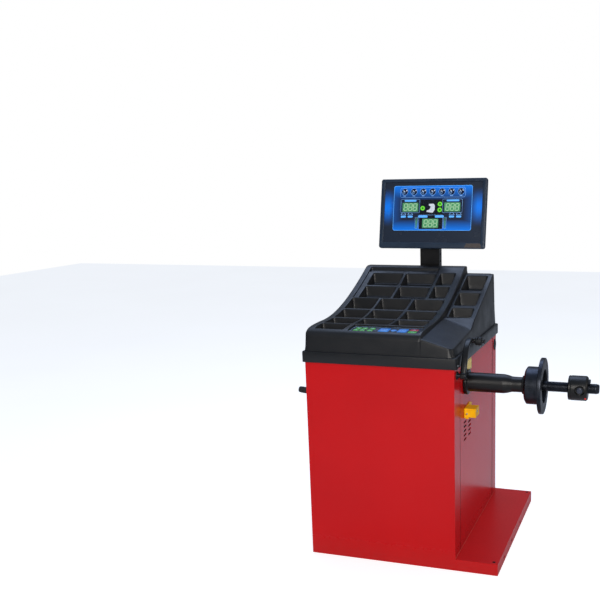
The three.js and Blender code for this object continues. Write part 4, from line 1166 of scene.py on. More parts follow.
class BALANCER_OT_small_fittings(bpy.types.Operator):
    """Boxy castings, boards, brackets and fittings: their own shapes with eased edges"""

    bl_idname = "balancer.small_fittings"
    bl_label = "Brackets, boards and fittings"

    def execute(self, context):
        for node, edge, finish_name, slot in BOXY_PARTS:
            softened(node, edge, finish_name)
        block = Piece("stop_block_screws")
        block.add(moved(screw(3.6), X_TO["front"], (567, 141, 546)), "screw_steel")
        block.add(moved(screw(3.6), X_TO["right"], (599.5, 166, 552)), "screw_steel")
        tab = soft_slab((562, 573), (-3.0, 3.0), (0, 3.5), 1.0, 1.0)
        block.add(moved(tab, W_TO["front"], (0, 142, 531)), "yellow_enamel")
        block.done("cabinet", "yellow_enamel")
        bolts = Piece("post_bolts")
        for z in (1036, 1066, 1150):
            bolts.add(moved(screw(4.5), X_TO["right"], (311.7, 728, z)), "black_screw")
        for x, z in ((216, 625), (216, 710), (323, 625), (323, 710)):
            bolts.add(moved(screw(6), X_TO["back"], (x, 710, z)), "black_screw")
        bolts.done("cabinet", "black_enamel")
        return {"FINISHED"}


PEG_LEAN = np.radians(6)
# Carries X to the left and up by the peg's lean.
PEG_TURN = np.array(
    [[-np.cos(PEG_LEAN), 0, np.sin(PEG_LEAN)], [0, -1, 0], [np.sin(PEG_LEAN), 0, np.cos(PEG_LEAN)]]
)


class BALANCER_OT_pegs(bpy.types.Operator):
    """Cone storage pegs with rubber sleeves, and the plug in the rear hole"""

    bl_idname = "balancer.pegs"
    bl_label = "Storage pegs and plug"

    def execute(self, context):
        sleeve_profile = filleted([(-3, 0), (-3, 12.5), (104, 12.5), (118, 11), (118, 0)], 3.5)
        for number, y in enumerate((190, 340, 490), 1):
            peg = Piece(f"cone_peg_{number}_sleeved")
            peg.add(moved(turned(sleeve_profile, 48), PEG_TURN, (-0.3, y, 572)), "peg_sleeve")
            washer = filleted([(0, 0), (0, 18), (4, 18), (4, 0)], 1.0)
            peg.add(moved(turned(washer, 48), X_TO["left"], (-0.3, y, 572)), "screw_steel")
            stud = [(0.3, 0), (0.3, 4), (-14, 4), (-14, 0)]
            peg.add(moved(turned(stud, 24), X_TO["left"], (-0.3, y, 572)), "screw_steel")
            peg.done("cabinet", "peg_rubber", f"cone_peg_{number}")
        plug = Piece("rear_hole_plug_domed")
        section = [(546, 0), (546, 19.8), (557.3, 19.8), (557.3, 23), (559, 22.6), (560, 18), (560, 0)]
        profile = filleted(section, 0.7)
        plug.add(moved(turned(profile, 64), to=(0, 675, 696)), "moulded_nylon")
        plug.done("cabinet", "black_nylon", "rear_hole_plug")
        return {"FINISHED"}

# ---------------------------------------------------------------- spindle

SHAFT_R = 18.0
BORE_R = 18.4  # of each piece that sits on the shaft
TUBE_R = 34.5
NECK_R = 27.2
DRUM_R = 66.9
FLANGE_R = 99.6


class BALANCER_OT_spindle(bpy.types.Operator):
    """Spindle housing, seal, wheel flange and threaded shaft, all turned about one axis"""

    bl_idname = "balancer.spindle"
    bl_label = "Spindle, flange and shaft"

    def execute(self, context):
        at_spindle = {"to": SPINDLE}
        housing = [
            (330, 30), (330, TUBE_R), (557.5, TUBE_R), (557.5, 46), (571, 46), (571, TUBE_R), (698, TUBE_R),
            (712, 32.2), (728, 27.6), (742, NECK_R), (765, NECK_R), (765, 21.5), (702, 21.5), (702, 30),
        ]
        tube = filleted(housing, 2.2)
        piece = Piece("spindle_housing_turned")
        piece.add(moved(turned(np.vstack([tube, tube[:1]])), **at_spindle), "black_semi_gloss")
        piece.done("cabinet", "black_enamel", "spindle_housing", sharp=50)

        seal = [(765.4, BORE_R), (765.4, 32), (767, 33), (769, 33), (769.6, 31.4), (771, 31.4), (771.6, 33),
                (774, 33), (775.4, 31), (775.4, BORE_R)]
        seal = filleted(seal, 0.5, 2)
        piece = Piece("spindle_seal_lipped")
        piece.add(moved(turned(np.vstack([seal, seal[:1]])), **at_spindle), "moulded_nylon")
        piece.done("cabinet", "black_nylon", "spindle_seal", sharp=50)

        inner = [(803, 60), (799, 56), (799, BORE_R), (776.2, BORE_R)]
        outer = [(776.2, 57), (782.5, DRUM_R), (828, DRUM_R), (828, FLANGE_R), (842, FLANGE_R)]
        flange = filleted(outer + [(842, 60)] + inner, 1.8)
        piece = Piece("wheel_flange_turned")
        piece.add(moved(turned(np.vstack([flange, flange[:1]]), 160), **at_spindle), "black_oxide")
        face = [(841.6, 61.8), (842.15, 62.2), (842.15, 97.2), (841.6, 97.6), (841.6, 61.8)]
        piece.add(moved(turned(face, 160), **at_spindle), "worn_flange_face")
        piece.done("spindle", "black_steel", "wheel_flange", sharp=50)
        self.make_shaft(context, at_spindle)
        return {"FINISHED"}

    def make_shaft(self, context, at_spindle):
        """Shaft whose radius dips by the thread's depth: the dip is a flattened cosine of the station
        over the pitch less the angle over a full turn, and it fades out at both ends of the thread."""
        pitch = context.scene.balancer_sizes.thread_pitch / MM
        start, end, depth = 850.0, 1019.0, 1.15
        plain = [(240, 0), (240, 15), (243, SHAFT_R), (500, SHAFT_R), (844, SHAFT_R)]
        stations = np.arange(start - 2, end + 2, pitch / 10)
        tail = [(1022, 16.6), (1026.5, 16.6), (1030, 13.6), (1030, 0)]
        profile = plain + [(x, SHAFT_R) for x in stations] + tail

        def threaded(x, r, a):
            wave = np.cos(2 * np.pi * (x / pitch - a / (2 * np.pi)))
            dip = depth * np.clip(0.5 + 0.9 * wave, 0, 1)
            fade = np.clip((x - start) / 4, 0, 1) * np.clip((end - x) / 3, 0, 1)
            return np.where(r > 10, r - dip * fade, r)

        piece = Piece("spindle_shaft_threaded")
        piece.add(moved(turned(profile, 64, threaded), **at_spindle), "black_oxide")
        piece.done("spindle", "black_steel", "spindle_shaft", sharp=60)


class BALANCER_OT_quick_nut(bpy.types.Operator):
    """Quick nut with its dished pocket, round release button and red index mark"""

    bl_idname = "balancer.quick_nut"
    bl_label = "Quick nut"

    def execute(self, context):
        at_spindle = {"to": SPINDLE}
        button_x, dish_r, well_r = 967.0, 17.0, 11.2
        stations = np.unique(np.concatenate([np.linspace(926, 992, 34), np.arange(948, 986.5, 0.8)]))
        places = [926, 928.5, 930.5, 931.2, 934, 934.7, 987, 992]
        rim = np.interp(stations, places, [40.6, 43.2, 43.4, 42.4, 42.4, 43.4, 43.4, 38.6])
        profile = [(926, 18.8), (926, 33)] + list(zip(stations, rim)) + [(992, 30), (992, 18.8), (926, 18.8)]

        def dished(x, r, a):
            """Outer radius cut by a flat-bottomed dish and a deeper well, both seen from the front."""
            toward = -np.cos(a)
            across = np.hypot(x - button_x, r * np.sin(a))
            outer = (r > 32) & (toward > 0.3) & (x > 945)
            dish = 36.4 / np.maximum(toward, 0.3)
            well = 27.0 / np.maximum(toward, 0.3)
            ease = np.clip((dish_r - across) / 1.6, 0, 1)
            deep = np.clip((well_r - across) / 0.8, 0, 1)
            cut = r + (np.minimum(dish, r) - r) * ease
            cut = cut + (np.minimum(well, cut) - cut) * deep
            return np.where(outer, cut, r)

        nut = Piece("quick_nut_turned")
        nut.add(moved(turned(profile, 240, dished), **at_spindle), "black_semi_gloss")
        mark = filleted([(0, 0), (0, 4.2), (1.0, 4.0), (1.6, 2.2), (1.6, 0)], 0.5, 3)
        low = np.radians(-132)
        place = (986, SPINDLE[1] - 42.6 * np.sin(-low), SPINDLE[2] + 42.6 * np.cos(low))
        outward = np.array([0, -np.sin(-low), np.cos(low)])
        turn = np.column_stack([outward, [1, 0, 0], np.cross(outward, [1, 0, 0])])
        nut.add(moved(turned(mark, 32), turn, place), "signal_red")
        nut.done("nut", "black_enamel", "quick_nut", sharp=45)

        button = filleted([(0, 0), (0, 10.6), (17.6, 10.6), (18.6, 6), (18.6, 0)], 2.4, 6)
        piece = Piece("nut_button_domed")
        spot = (button_x, SPINDLE[1] - 23.8, SPINDLE[2])
        piece.add(moved(turned(button, 64), X_TO["front"], spot), "button_plastic")
        piece.done("nut_release", "button_plastic", "nut_button")
        return {"FINISHED"}


# ---------------------------------------------------------------- drive


class BALANCER_OT_drive(bpy.types.Operator):
    """Bearings, pulleys, finned motor, belt and force sensors inside the cabinet"""

    bl_idname = "balancer.drive"
    bl_label = "Drive and bearings"

    def execute(self, context):
        at_spindle = {"to": SPINDLE}
        at_motor = {"to": (0, 430, 470)}
        for name, span in (("bearing_rear", (334, 352)), ("bearing_front", (682, 700))):
            outline = [(span[0], 18.3), (span[0], 21), (span[0] + 1, 22), (span[0] + 1, 26), (span[0], 27),
                       (span[0], 29.7), (span[1], 29.7), (span[1], 27), (span[1] - 1, 26), (span[1] - 1, 22),
                       (span[1], 21), (span[1], 18.3)]
            ring = filleted(outline, 0.6, 2)
            piece = Piece(f"{name}_shielded")
            piece.add(moved(turned(np.vstack([ring, ring[:1]])), **at_spindle), "bearing_steel")
            piece.done("cabinet", "bearing_steel", name)

        grooves = np.linspace(277, 297, 61)
        rim = 70 - 1.4 * (0.5 + 0.5 * np.cos(2 * np.pi * (grooves - 277) / 2.5))
        pulley = [(270, BORE_R), (270, 28), (281, 28), (281, 62), (275, 62), (275, 70)]
        pulley += list(zip(grooves, rim))
        pulley += [(299, 70), (299, 28), (304, 28), (304, 18.4), (270, 18.4)]
        piece = Piece("spindle_pulley_grooved")
        piece.add(moved(turned(pulley), **at_spindle), "zinc_plate")
        piece.done("spindle", "zinc_steel", "spindle_pulley")
        rotor = [(268, 0), (268, 6), (269, 7), (275, 7), (275, 20)] + list(zip(grooves, rim - 50))
        rotor += [(299, 20), (299, 7), (358, 7), (358, 0)]
        piece = Piece("motor_rotor_grooved")
        piece.add(moved(turned(rotor, 64), **at_motor), "zinc_plate")
        piece.done("rotor", "zinc_steel", "motor_rotor")

        def finned(x, r, a):
            """Cooling fins: 36 round the frame, 4 mm deep, only along the middle of the body."""
            fin = 4.0 * np.clip(0.5 - 1.2 * np.cos(36 * a), 0, 1)
            return np.where((r > 50) & (x > 331) & (x < 445), r - fin, r)

        shell = [(320, 7.4), (320, 30), (326, 50), (331, 55), (332, 55), (333, 55), (443, 55), (444, 55),
                 (446, 55), (455, 46), (455, 0), (362, 0), (362, 7.4), (320, 7.4)]
        piece = Piece("motor_body_finned")
        piece.add(moved(turned(shell, 288, finned), **at_motor), "cast_iron")
        box = soft_slab((355, 420), (405, 455), (519, 543), 4, 3)
        piece.add(box, "black_semi_gloss")
        piece.done("cabinet", "cast_iron", "motor_body", sharp=50)
        for node in ("force_sensor_vertical", "force_sensor_horizontal"):
            softened(node, 1.0, "sensor_ceramic", 3)
        softened("drive_belt", 0.4, "belt_rubber")

        core = Piece("transformer_wound")
        core.add(soft_slab((60, 150), (470, 560), (43.8, 113.5), 2, 1), "cast_iron")
        core.add(soft_slab((78, 132), (455, 575), (57.5, 99.5), 12, 4), "copper_winding")
        core.done("cabinet", "cast_iron", "transformer")
        return {"FINISHED"}


# ---------------------------------------------------------------- distance gauge

ARM_X = 580.5  # middle of the arm's thickness
ARM_PATH = [(0, 0), (2, 6), (14, 38), (30, 66), (50, 90), (76, 104), (106, 108), (133, 100)]
HEAD_YZ = (133.0, 98.0)


class BALANCER_OT_gauge(bpy.types.Operator):
    """Distance gauge: sliding rod, panel bush, curved arm and slotted head"""

    bl_idname = "balancer.gauge"
    bl_label = "Distance gauge"

    def execute(self, context):
        at_gauge = {"to": GAUGE}
        rod = filleted([(262, 0), (262, 8), (590.5, 8), (592, 6.5), (592, 0)], 0.8)
        piece = Piece("gauge_rod_ground")
        piece.add(moved(turned(rod, 64), **at_gauge), "black_oxide")
        piece.done("gauge", "bearing_steel", "gauge_rod")
        bush = filleted([(552, 8.4), (552, 10.6), (557.3, 10.6), (557.3, 15), (562, 14), (562, 8.4)], 0.8)
        piece = Piece("gauge_bush_flanged")
        piece.add(moved(turned(np.vstack([bush, bush[:1]]), 64), **at_gauge), "moulded_nylon")
        piece.done("cabinet", "black_nylon", "gauge_bush")

        arm = Piece("gauge_arm_curved")
        arm.add(moved(self.bar(), to=GAUGE), "black_semi_gloss")
        hub = filleted([(570.6, 0), (570.6, 12.6), (589.4, 12.6), (589.4, 0)], 2.2)
        arm.add(moved(turned(hub, 64), **at_gauge), "black_semi_gloss")
        eye = filleted([(571, 0), (571, 9.5), (593, 9.5), (593, 0)], 1.6)
        arm.add(moved(turned(eye, 48), to=(0, GAUGE[1] + 133, GAUGE[2] + 100)), "black_semi_gloss")
        arm.add(moved(screw(4.5), X_TO["right"], (589.6, GAUGE[1], GAUGE[2])), "black_screw")
        arm.done("gauge", "black_enamel", "gauge_arm", sharp=50)

        head_profile = filleted(
            [(593.5, 0), (593.5, 12), (596, 15.5), (600.9, 15.5), (601.1, 15.5), (605.9, 15.5), (606.1, 15.5),
             (616, 15.5), (618, 12), (618, 6), (625, 6), (625, 9), (627.5, 9), (627.5, 0)], 0.6, 2,
        )

        def slotted(x, r, a):
            """A slot across the top: the surface there stays at or under 6 mm above the axis."""
            up = np.sin(a)
            in_slot = (x > 601) & (x < 606) & (up > 0.2)
            return np.where(in_slot, np.minimum(r, 6.0 / np.maximum(up, 0.2)), r)

        head = Piece("gauge_head_slotted")
        spot = (0, GAUGE[1] + HEAD_YZ[0], GAUGE[2] + HEAD_YZ[1])
        head.add(moved(turned(head_profile, 96, slotted), to=spot), "moulded_nylon")
        head.done("gauge", "black_abs", "gauge_head", sharp=50)
        return {"FINISHED"}

    def bar(self):
        """Curved bar: a rounded section carried square to a smooth path in the YZ plane, and narrowed
        towards the head."""
        path = smooth_curve(ARM_PATH, 60)
        along = np.gradient(path, axis=0)
        along /= np.linalg.norm(along, axis=1)[:, None]
        across = np.stack([-along[:, 1], along[:, 0]], -1)
        section = rounded_outline((-1, 1), (-1, 1), 0.5, 4)
        share = np.linspace(0, 1, len(path))
        half_width = 10.5 - 1.5 * share**2
        half_depth = 7.4 - 1.6 * share**2
        x = ARM_X + section[None, :, 1] * half_width[:, None]
        yz = path[:, None] + across[:, None] * (section[None, :, :1] * half_depth[:, None, None])
        return lofted(np.concatenate([x[..., None], yz], -1))


# ---------------------------------------------------------------- keypad

# Name, middle to the right, middle away from the operator, width, depth, ink, mark.
KEYS = [
    (f"green_{letter}{row + 1}", u - 2 * row, 12 - 26 * row, 20, 17, "key_green", "dash")
    for letter, u in (("a", -108), ("b", -84), ("c", -55))
    for row in (0, 1)
]
KEYS += [
    ("blue_left", -7, -1, 38, 42, "key_blue", "turn"),
    ("blue_round", 29, -1, 22, 22, "key_blue", "dot"),
    ("blue_right", 62, -1, 34, 42, "key_blue", "turn"),
    ("stop", 102, 12, 30, 17, "key_red", "dash"),
    ("start", 102, -14, 30, 20, "key_green", "dash"),
]
KEY_NODE = {name: f"key_{name}" for name, *_ in KEYS}


def on_keypad(surface):
    return leaned(surface, KEYPAD, KEYPAD_TILT)


def key_marks(u, v, width, depth, mark):
    """Plain marks printed on a key: dashes, a dot, or two facing hooks."""
    level = (1.15, 1.26)
    if mark == "dot":
        return [flat_ring(circle_outline((u, v), 5.2), circle_outline((u, v), 4.2), level)]
    if mark == "dash":
        dashes = [rounded_outline((u - 5, u + 5), (v + dv - 0.8, v + dv + 0.8), 0.6, 2) for dv in (-2, 2)]
        return [flat_tile(dash, level) for dash in dashes]
    half_u, half_v, line = width * 0.28, depth * 0.26, 1.4
    outer = rounded_outline((u - half_u, u + half_u), (v - half_v, v + half_v), 4)
    along_u = (u - half_u + line, u + half_u - line)
    inner = rounded_outline(along_u, (v - half_v + line, v + half_v - line), 2.8)
    return [flat_ring(outer, inner, level), flat_tile(circle_outline((u, v), 2.4, 16), level)]


class BALANCER_OT_keypad(bpy.types.Operator):
    """Keypad: printed film plate and eleven embossed keys, each on its own body"""

    bl_idname = "balancer.keypad"
    bl_label = "Keypad and keys"

    def execute(self, context):
        crown = context.scene.balancer_sizes.key_crown / MM
        softened("keypad_plate", 0.35, "keypad_film")
        print_marks = Piece("keypad_print")
        half = (KEYPAD_SIZE[0] / 2, KEYPAD_SIZE[1] / 2)
        border = rounded_outline((-half[0] + 2, half[0] - 2), (-half[1] + 2, half[1] - 2), 3)
        inner = rounded_outline((-half[0] + 2.8, half[0] - 2.8), (-half[1] + 2.8, half[1] - 2.8), 2.4)
        print_marks.add(on_keypad(flat_ring(border, inner, (-0.05, 0.12))), "key_mark")
        for u in (-37, 11, 80):
            for v in (-14, 0, 12):
                dash = rounded_outline((u - 2.4, u + 2.4), (v - 0.7, v + 0.7), 0.5, 2)
                if u != 11:
                    print_marks.add(on_keypad(flat_tile(dash, (-0.05, 0.12))), "key_mark")
        print_marks.done("cabinet", "keypad_film")
        for name, u, v, width, depth, ink, mark in KEYS:
            round_key = name == "blue_round"
            corner = 10.9 if round_key else 2.0
            low, high = -1.7, 1.2
            limits = ((u - width / 2, u + width / 2), (v - depth / 2, v + depth / 2))
            key = Piece(f"key_{name}_embossed")
            key.add(on_keypad(soft_slab(*limits, (low, high), corner, crown, 3, 9 if round_key else 4)), ink)
            for surface in key_marks(u, v, width, depth, mark):
                key.add(on_keypad(surface), "key_mark")
            key.done(f"pad_{name}", ink, KEY_NODE[name])
        return {"FINISHED"}

# ---------------------------------------------------------------- display

SCREEN_FACE = 4.3  # depth of the printed panel behind the bezel's front
# Limits across and up of what is printed on the screen, from its middle.
FIELD = ((-171, 167), (-71, 116))
READOUTS = [((-131, -63), (8, 45)), ((50, 118), (8, 45)), ((-42, 27), (-60, -22))]
BARS = [((-123, -71), (50, 57)), ((59, 113), (50, 57)), ((-61, -20), (-17, -8)), ((12, 50), (-17, -8))]
METERS = [((-74, -62), (-63, -16)), ((49, 61), (-63, -16))]
ICON_ROW = [-124 + 40.5 * number for number in range(7)]
ICON_HEIGHT = 91
LAMPS = [(-43, 22), (31, 39), (31, 15)]
RIM_MARKS = [-126, -96, 83, 113]
# Which end points each of the seven strokes of a digit joins, on a grid of 1 by 2.
STROKES = [
    ((0, 2), (1, 2)), ((1, 2), (1, 1)), ((1, 1), (1, 0)), ((0, 0), (1, 0)),
    ((0, 1), (0, 0)), ((0, 2), (0, 1)), ((0, 1), (1, 1)),
]


def on_screen(surface, level=0.0):
    """Carries a flat surface drawn across and up to the screen's face, its height towards the eye."""
    facing = moved(surface, W_TO["front"], (0, SCREEN_FACE - level, 0))
    return on_monitor(facing)


def digit_strokes(corner, width, height, thick=3.0, slant=0.1):
    """Seven strokes of a digit: each a long hexagon between two grid points, leaned to the right."""
    found = []
    for start, end in STROKES:
        a = np.array(start, float) * (width, height / 2)
        b = np.array(end, float) * (width, height / 2)
        along = (b - a) / np.linalg.norm(b - a)
        side = np.array([-along[1], along[0]])
        a, b = a + along * 0.7, b - along * 0.7
        half = thick / 2
        hexagon = [a, a + along * half - side * half, b - along * half - side * half, b,
                   b - along * half + side * half, a + along * half + side * half]
        hexagon = np.array(hexagon)
        hexagon[:, 0] += hexagon[:, 1] * slant
        found.append(hexagon + corner)
    return found


class BALANCER_OT_monitor(bpy.types.Operator):
    """Display: rounded bezel, vented back shell and their screws"""

    bl_idname = "balancer.monitor"
    bl_label = "Display housing"

    def execute(self, context):
        steps = context.scene.balancer_sizes.corner_steps
        half_w, half_h = MONITOR_SIZE[0] / 2, MONITOR_SIZE[1] / 2
        window = ((-half_w + 18, half_w - 18), (-half_h + 24, half_h - 14))
        t = np.linspace(0, np.pi / 2, 5)
        # The bezel turns in to its window: how far outside the window's edge each line lies, and its depth.
        loops = [self.rim(0, 9.0, steps), self.rim(0, 3.2, steps)]
        loops += [self.rim(3.2 * (1 - np.cos(a)), 3.2 - 3.2 * np.sin(a), steps) for a in t[1:]]
        for draw, depth in ((1.6, 0.0), (1.1, 0.15), (0.4, 0.7), (0.0, 1.6), (0.0, 3.9)):
            across, up = ((low - draw, high + draw) for low, high in window)
            flat = rounded_outline(across, up, 3 + draw, steps)
            loops.append(np.column_stack([flat[:, 0], np.full(len(flat), depth), flat[:, 1]]))
        loops += [self.rim(6.2, 3.9, steps), self.rim(6.2, 9.0, steps)]
        bezel = Piece("monitor_bezel_rounded")
        bezel.add(on_monitor(lofted(loops, ring=True)), "monitor_plastic")
        bezel.done("monitor", "navy_plastic", "monitor_bezel", sharp=50)

        shell = [self.rim(0, 9.3, steps), self.rim(0, 17, steps)]
        shell += [self.rim(5 * (1 - np.cos(a)), 17 + 5 * np.sin(a), steps) for a in t[1:]]
        plinth = ((44, 22.4), (47, 25), (50, 31), (53, 34))
        shell += [self.rim(inset, depth, steps) for inset, depth in plinth]
        back = Piece("monitor_back_moulded")
        back.add(on_monitor(lofted(shell)), "monitor_plastic")
        for number in range(14):
            u = -72 + number * 11
            slat = soft_slab((-u - 2.2, -u + 2.2), (68, 88), (33, 34.8), 2.1, 1.2)
            back.add(on_monitor(moved(slat, W_TO["back"])), "monitor_plastic")
        for u in (-half_w + 22, half_w - 22):
            for v in (-half_h + 22, half_h - 22):
                back.add(on_monitor(moved(screw(4), X_TO["back"], (u, 22, v))), "black_screw")
        back.done("monitor", "navy_plastic", "monitor_back", sharp=50)

        pin_x = 280 - MONITOR[0]
        yoke = Piece("yoke_screws")
        for u in (-38, 38):
            for v in (-22, 38):
                yoke.add(on_monitor(moved(screw(4), X_TO["back"], (pin_x + u, 38, v))), "black_screw")
        for side, towards in ((-18, "left"), (18, "right")):
            yoke.add(on_monitor(moved(screw(6), X_TO[towards], (pin_x + side, 48, 0))), "black_screw")
        yoke.done("monitor", "black_enamel")
        return {"FINISHED"}

    def rim(self, inset, depth, steps):
        """Loop round the display's outline, drawn in by an inset, at a depth behind the front."""
        half_w, half_h = MONITOR_SIZE[0] / 2 - inset, MONITOR_SIZE[1] / 2 - inset
        flat = rounded_outline((-half_w, half_w), (-half_h, half_h), max(9 - inset, 3.0), steps)
        return np.column_stack([flat[:, 0], np.full(len(flat), depth), flat[:, 1]])


class BALANCER_OT_screen(bpy.types.Operator):
    """Screen: printed panel, blue field, readouts with plain digits, lamps, bars and pictograms"""

    bl_idname = "balancer.screen"
    bl_label = "Screen"

    def execute(self, context):
        frame["nodes"]["display_panel"].data.materials.clear()
        frame["nodes"]["display_panel"].data.materials.append(finish("display_print"))
        art = Piece("screen_artwork")

        def put(outline, levels, ink):
            art.add(on_screen(flat_tile(outline, levels)), ink)

        def trace(outer, inner, levels, ink):
            art.add(on_screen(flat_ring(outer, inner, levels)), ink)

        put(rounded_outline(*FIELD, 8, 6), (-0.1, 0.15), "display_field")
        self.frame_line(trace, FIELD, 8, 1.5, "display_bar")
        self.frame_line(trace, ((-143, 138), (67, 108)), 9, 0.8, "display_outline")
        put(rounded_outline((-56, 45), (-12, 58), 5, 4), (0.1, 0.24), "display_dark")
        self.frame_line(trace, ((-139, -56), (3, 60)), 4, 0.8, "display_outline")
        self.frame_line(trace, ((42, 127), (3, 60)), 4, 0.8, "display_outline")
        self.frame_line(trace, ((-58, 46), (-66, -6)), 4, 0.8, "display_outline")
        put(rounded_outline((-57, 45), (-65, -7), 3, 3), (0.1, 0.22), "display_dark")
        for limits in READOUTS:
            put(rounded_outline(*limits, 2.5, 3), (0.2, 0.4), "readout_glass")
            self.digits(put, limits)
        for limits in BARS:
            put(rounded_outline(*limits, 3.4, 4), (0.3, 0.5), "display_bar")
        for limits in METERS:
            self.meter(put, trace, limits)
        for u in ICON_ROW:
            self.icon(put, trace, u)
        for u, v in LAMPS:
            put(circle_outline((u, v), 9.5, 36), (0.2, 0.5), "signal_green")
            put(circle_outline((u, v), 4.2, 24), (0.5, 0.62), "signal_core")
        for u in RIM_MARKS:
            self.rim_mark(put, trace, u)
        self.rim_drawing(put)
        patch = np.array([(143, -141.5), (214, -141.5), (209, -124), (150, -124)])
        art.add(on_monitor(moved(flat_tile(patch, (-0.02, 0.1)), W_TO["front"])), "blank_plate")
        art.done("monitor", "display_glass", sharp=30)
        return {"FINISHED"}

    def frame_line(self, trace, limits, corner, width, ink):
        (u0, u1), (v0, v1) = limits
        outer = rounded_outline((u0, u1), (v0, v1), corner, 6)
        inside_corner = max(corner - width, 0.3)
        inner = rounded_outline((u0 + width, u1 - width), (v0 + width, v1 - width), inside_corner, 6)
        trace(outer, inner, (0.1, 0.3), ink)

    def digits(self, put, limits):
        (u0, u1), (v0, v1) = limits
        height = v1 - v0 - 9
        width = height * 0.5
        pitch = (u1 - u0 - 8) / 3
        for number in range(3):
            corner = (u0 + 6 + number * pitch, v0 + 4.5)
            for stroke in digit_strokes(corner, width, height):
                put(stroke, (0.35, 0.5), "readout_segment")

    def meter(self, put, trace, limits):
        (u0, u1), (v0, v1) = limits
        self.frame_line(trace, limits, 2.5, 0.8, "display_outline")
        count = 8
        step = (v1 - v0 - 6) / count
        for number in range(count):
            low = v0 + 3 + number * step
            narrow = 3.2 if number < 2 or number > 5 else 1.8
            bar = rounded_outline((u0 + narrow, u1 - narrow), (low, low + step * 0.62), 0.6, 2)
            put(bar, (0.2, 0.4), "readout_glass")

    def icon(self, put, trace, u):
        """Round pictogram: a dark disc with a ring, a small wheel, a slanted bar, and a dash below."""
        v = ICON_HEIGHT
        put(circle_outline((u, v), 13, 40), (0.15, 0.35), "display_shadow")
        rings = (((u, v), 14.6, 13.8, 40, (0.15, 0.35)), ((u - 4, v - 4), 5, 3.9, 28, (0.35, 0.5)))
        for centre, outer, inner, sides, levels in rings:
            ring = (circle_outline(centre, outer, sides), circle_outline(centre, inner, sides))
            trace(*ring, levels, "display_outline")
        bar = np.array([(-6.5, 5.5), (-4.8, 7.2), (2.2, 0.2), (0.5, -1.5)]) + (u, v)
        put(bar[::-1], (0.4, 0.55), "display_white")
        put(circle_outline((u + 8, v + 5), 2.6, 20), (0.35, 0.5), "display_white")
        put(rounded_outline((u - 6, u + 6), (v - 18.6, v - 16.6), 0.9, 2), (0.2, 0.4), "display_outline")

    def rim_mark(self, put, trace, u):
        """Half of a wheel section: a bar with a small frame above it."""
        put(rounded_outline((u - 11, u + 11), (-17, -9), 3, 3), (0.2, 0.4), "display_bar")
        outer = np.array([(-12, -6), (12, -6), (6, 4), (-6, 4)]) + (u, 0)
        inner = np.array([(-9.6, -4.8), (9.6, -4.8), (5, 2.9), (-5, 2.9)]) + (u, 0)
        trace(outer, inner, (0.2, 0.4), "display_outline")

    def rim_drawing(self, put):
        """Section of a wheel rim in the middle: an upright rounded body, a foot and a top flange."""
        body = [(-17, 39.8), (3.4, 40.9), (9.6, 32.5), (9.4, 14.5), (1, 3.1), (-25.8, 6.6), (-24.5, 12.6),
                (-15.5, 15.0), (-10.5, 20.8), (-8.4, 29.2), (-15.5, 32.5), (-17, 39.8)]
        put(filleted(body, 2.0)[:-1][::-1], (0.3, 0.5), "display_white")


# ---------------------------------------------------------------- power inlet


class BALANCER_OT_inlet(bpy.types.Operator):
    """Power inlet: three pins, screws and a blank rating plate at the back"""

    bl_idname = "balancer.inlet"
    bl_label = "Power inlet"

    def execute(self, context):
        inlet = Piece("inlet_pins")
        for dx in (-7, 0, 7):
            low = 150 if dx else 154
            pin = soft_slab((-120 - dx - 1.0, -120 - dx + 1.0), (low + 1, low + 5), (684, 699), 0.4, 0.4)
            inlet.add(moved(pin, W_TO["back"]), "bright_steel")
        for x in (92.5, 147.5):
            inlet.add(moved(screw(2.6), X_TO["back"], (x, 705.5, 165)), "screw_steel")
        plate = rounded_outline((-440, -320), (140, 200), 4)
        inlet.add(moved(flat_tile(plate, (702, 702.4)), W_TO["back"]), "zinc_plate")
        inlet.done("cabinet", "black_nylon")
        parts = Piece("board_components")
        for x, z in ((250, 520), (270, 520), (352, 432), (352, 412)):
            can = filleted([(0, 0), (0, 6), (18, 6), (18, 0)], 1.4)
            parts.add(moved(turned(can, 32), X_TO["front"], (x, 684, z)), "display_dark")
        for z in (388, 540):
            row = soft_slab((210, 290), (z, z + 9), (-683.5, -672), 1, 1)
            parts.add((row[0][:, [0, 2, 1]] * [1, -1, 1], [face[::-1] for face in row[1]]), "key_mark")
        parts.done("cabinet", "circuit_board")
        return {"FINISHED"}


# ---------------------------------------------------------------- stage


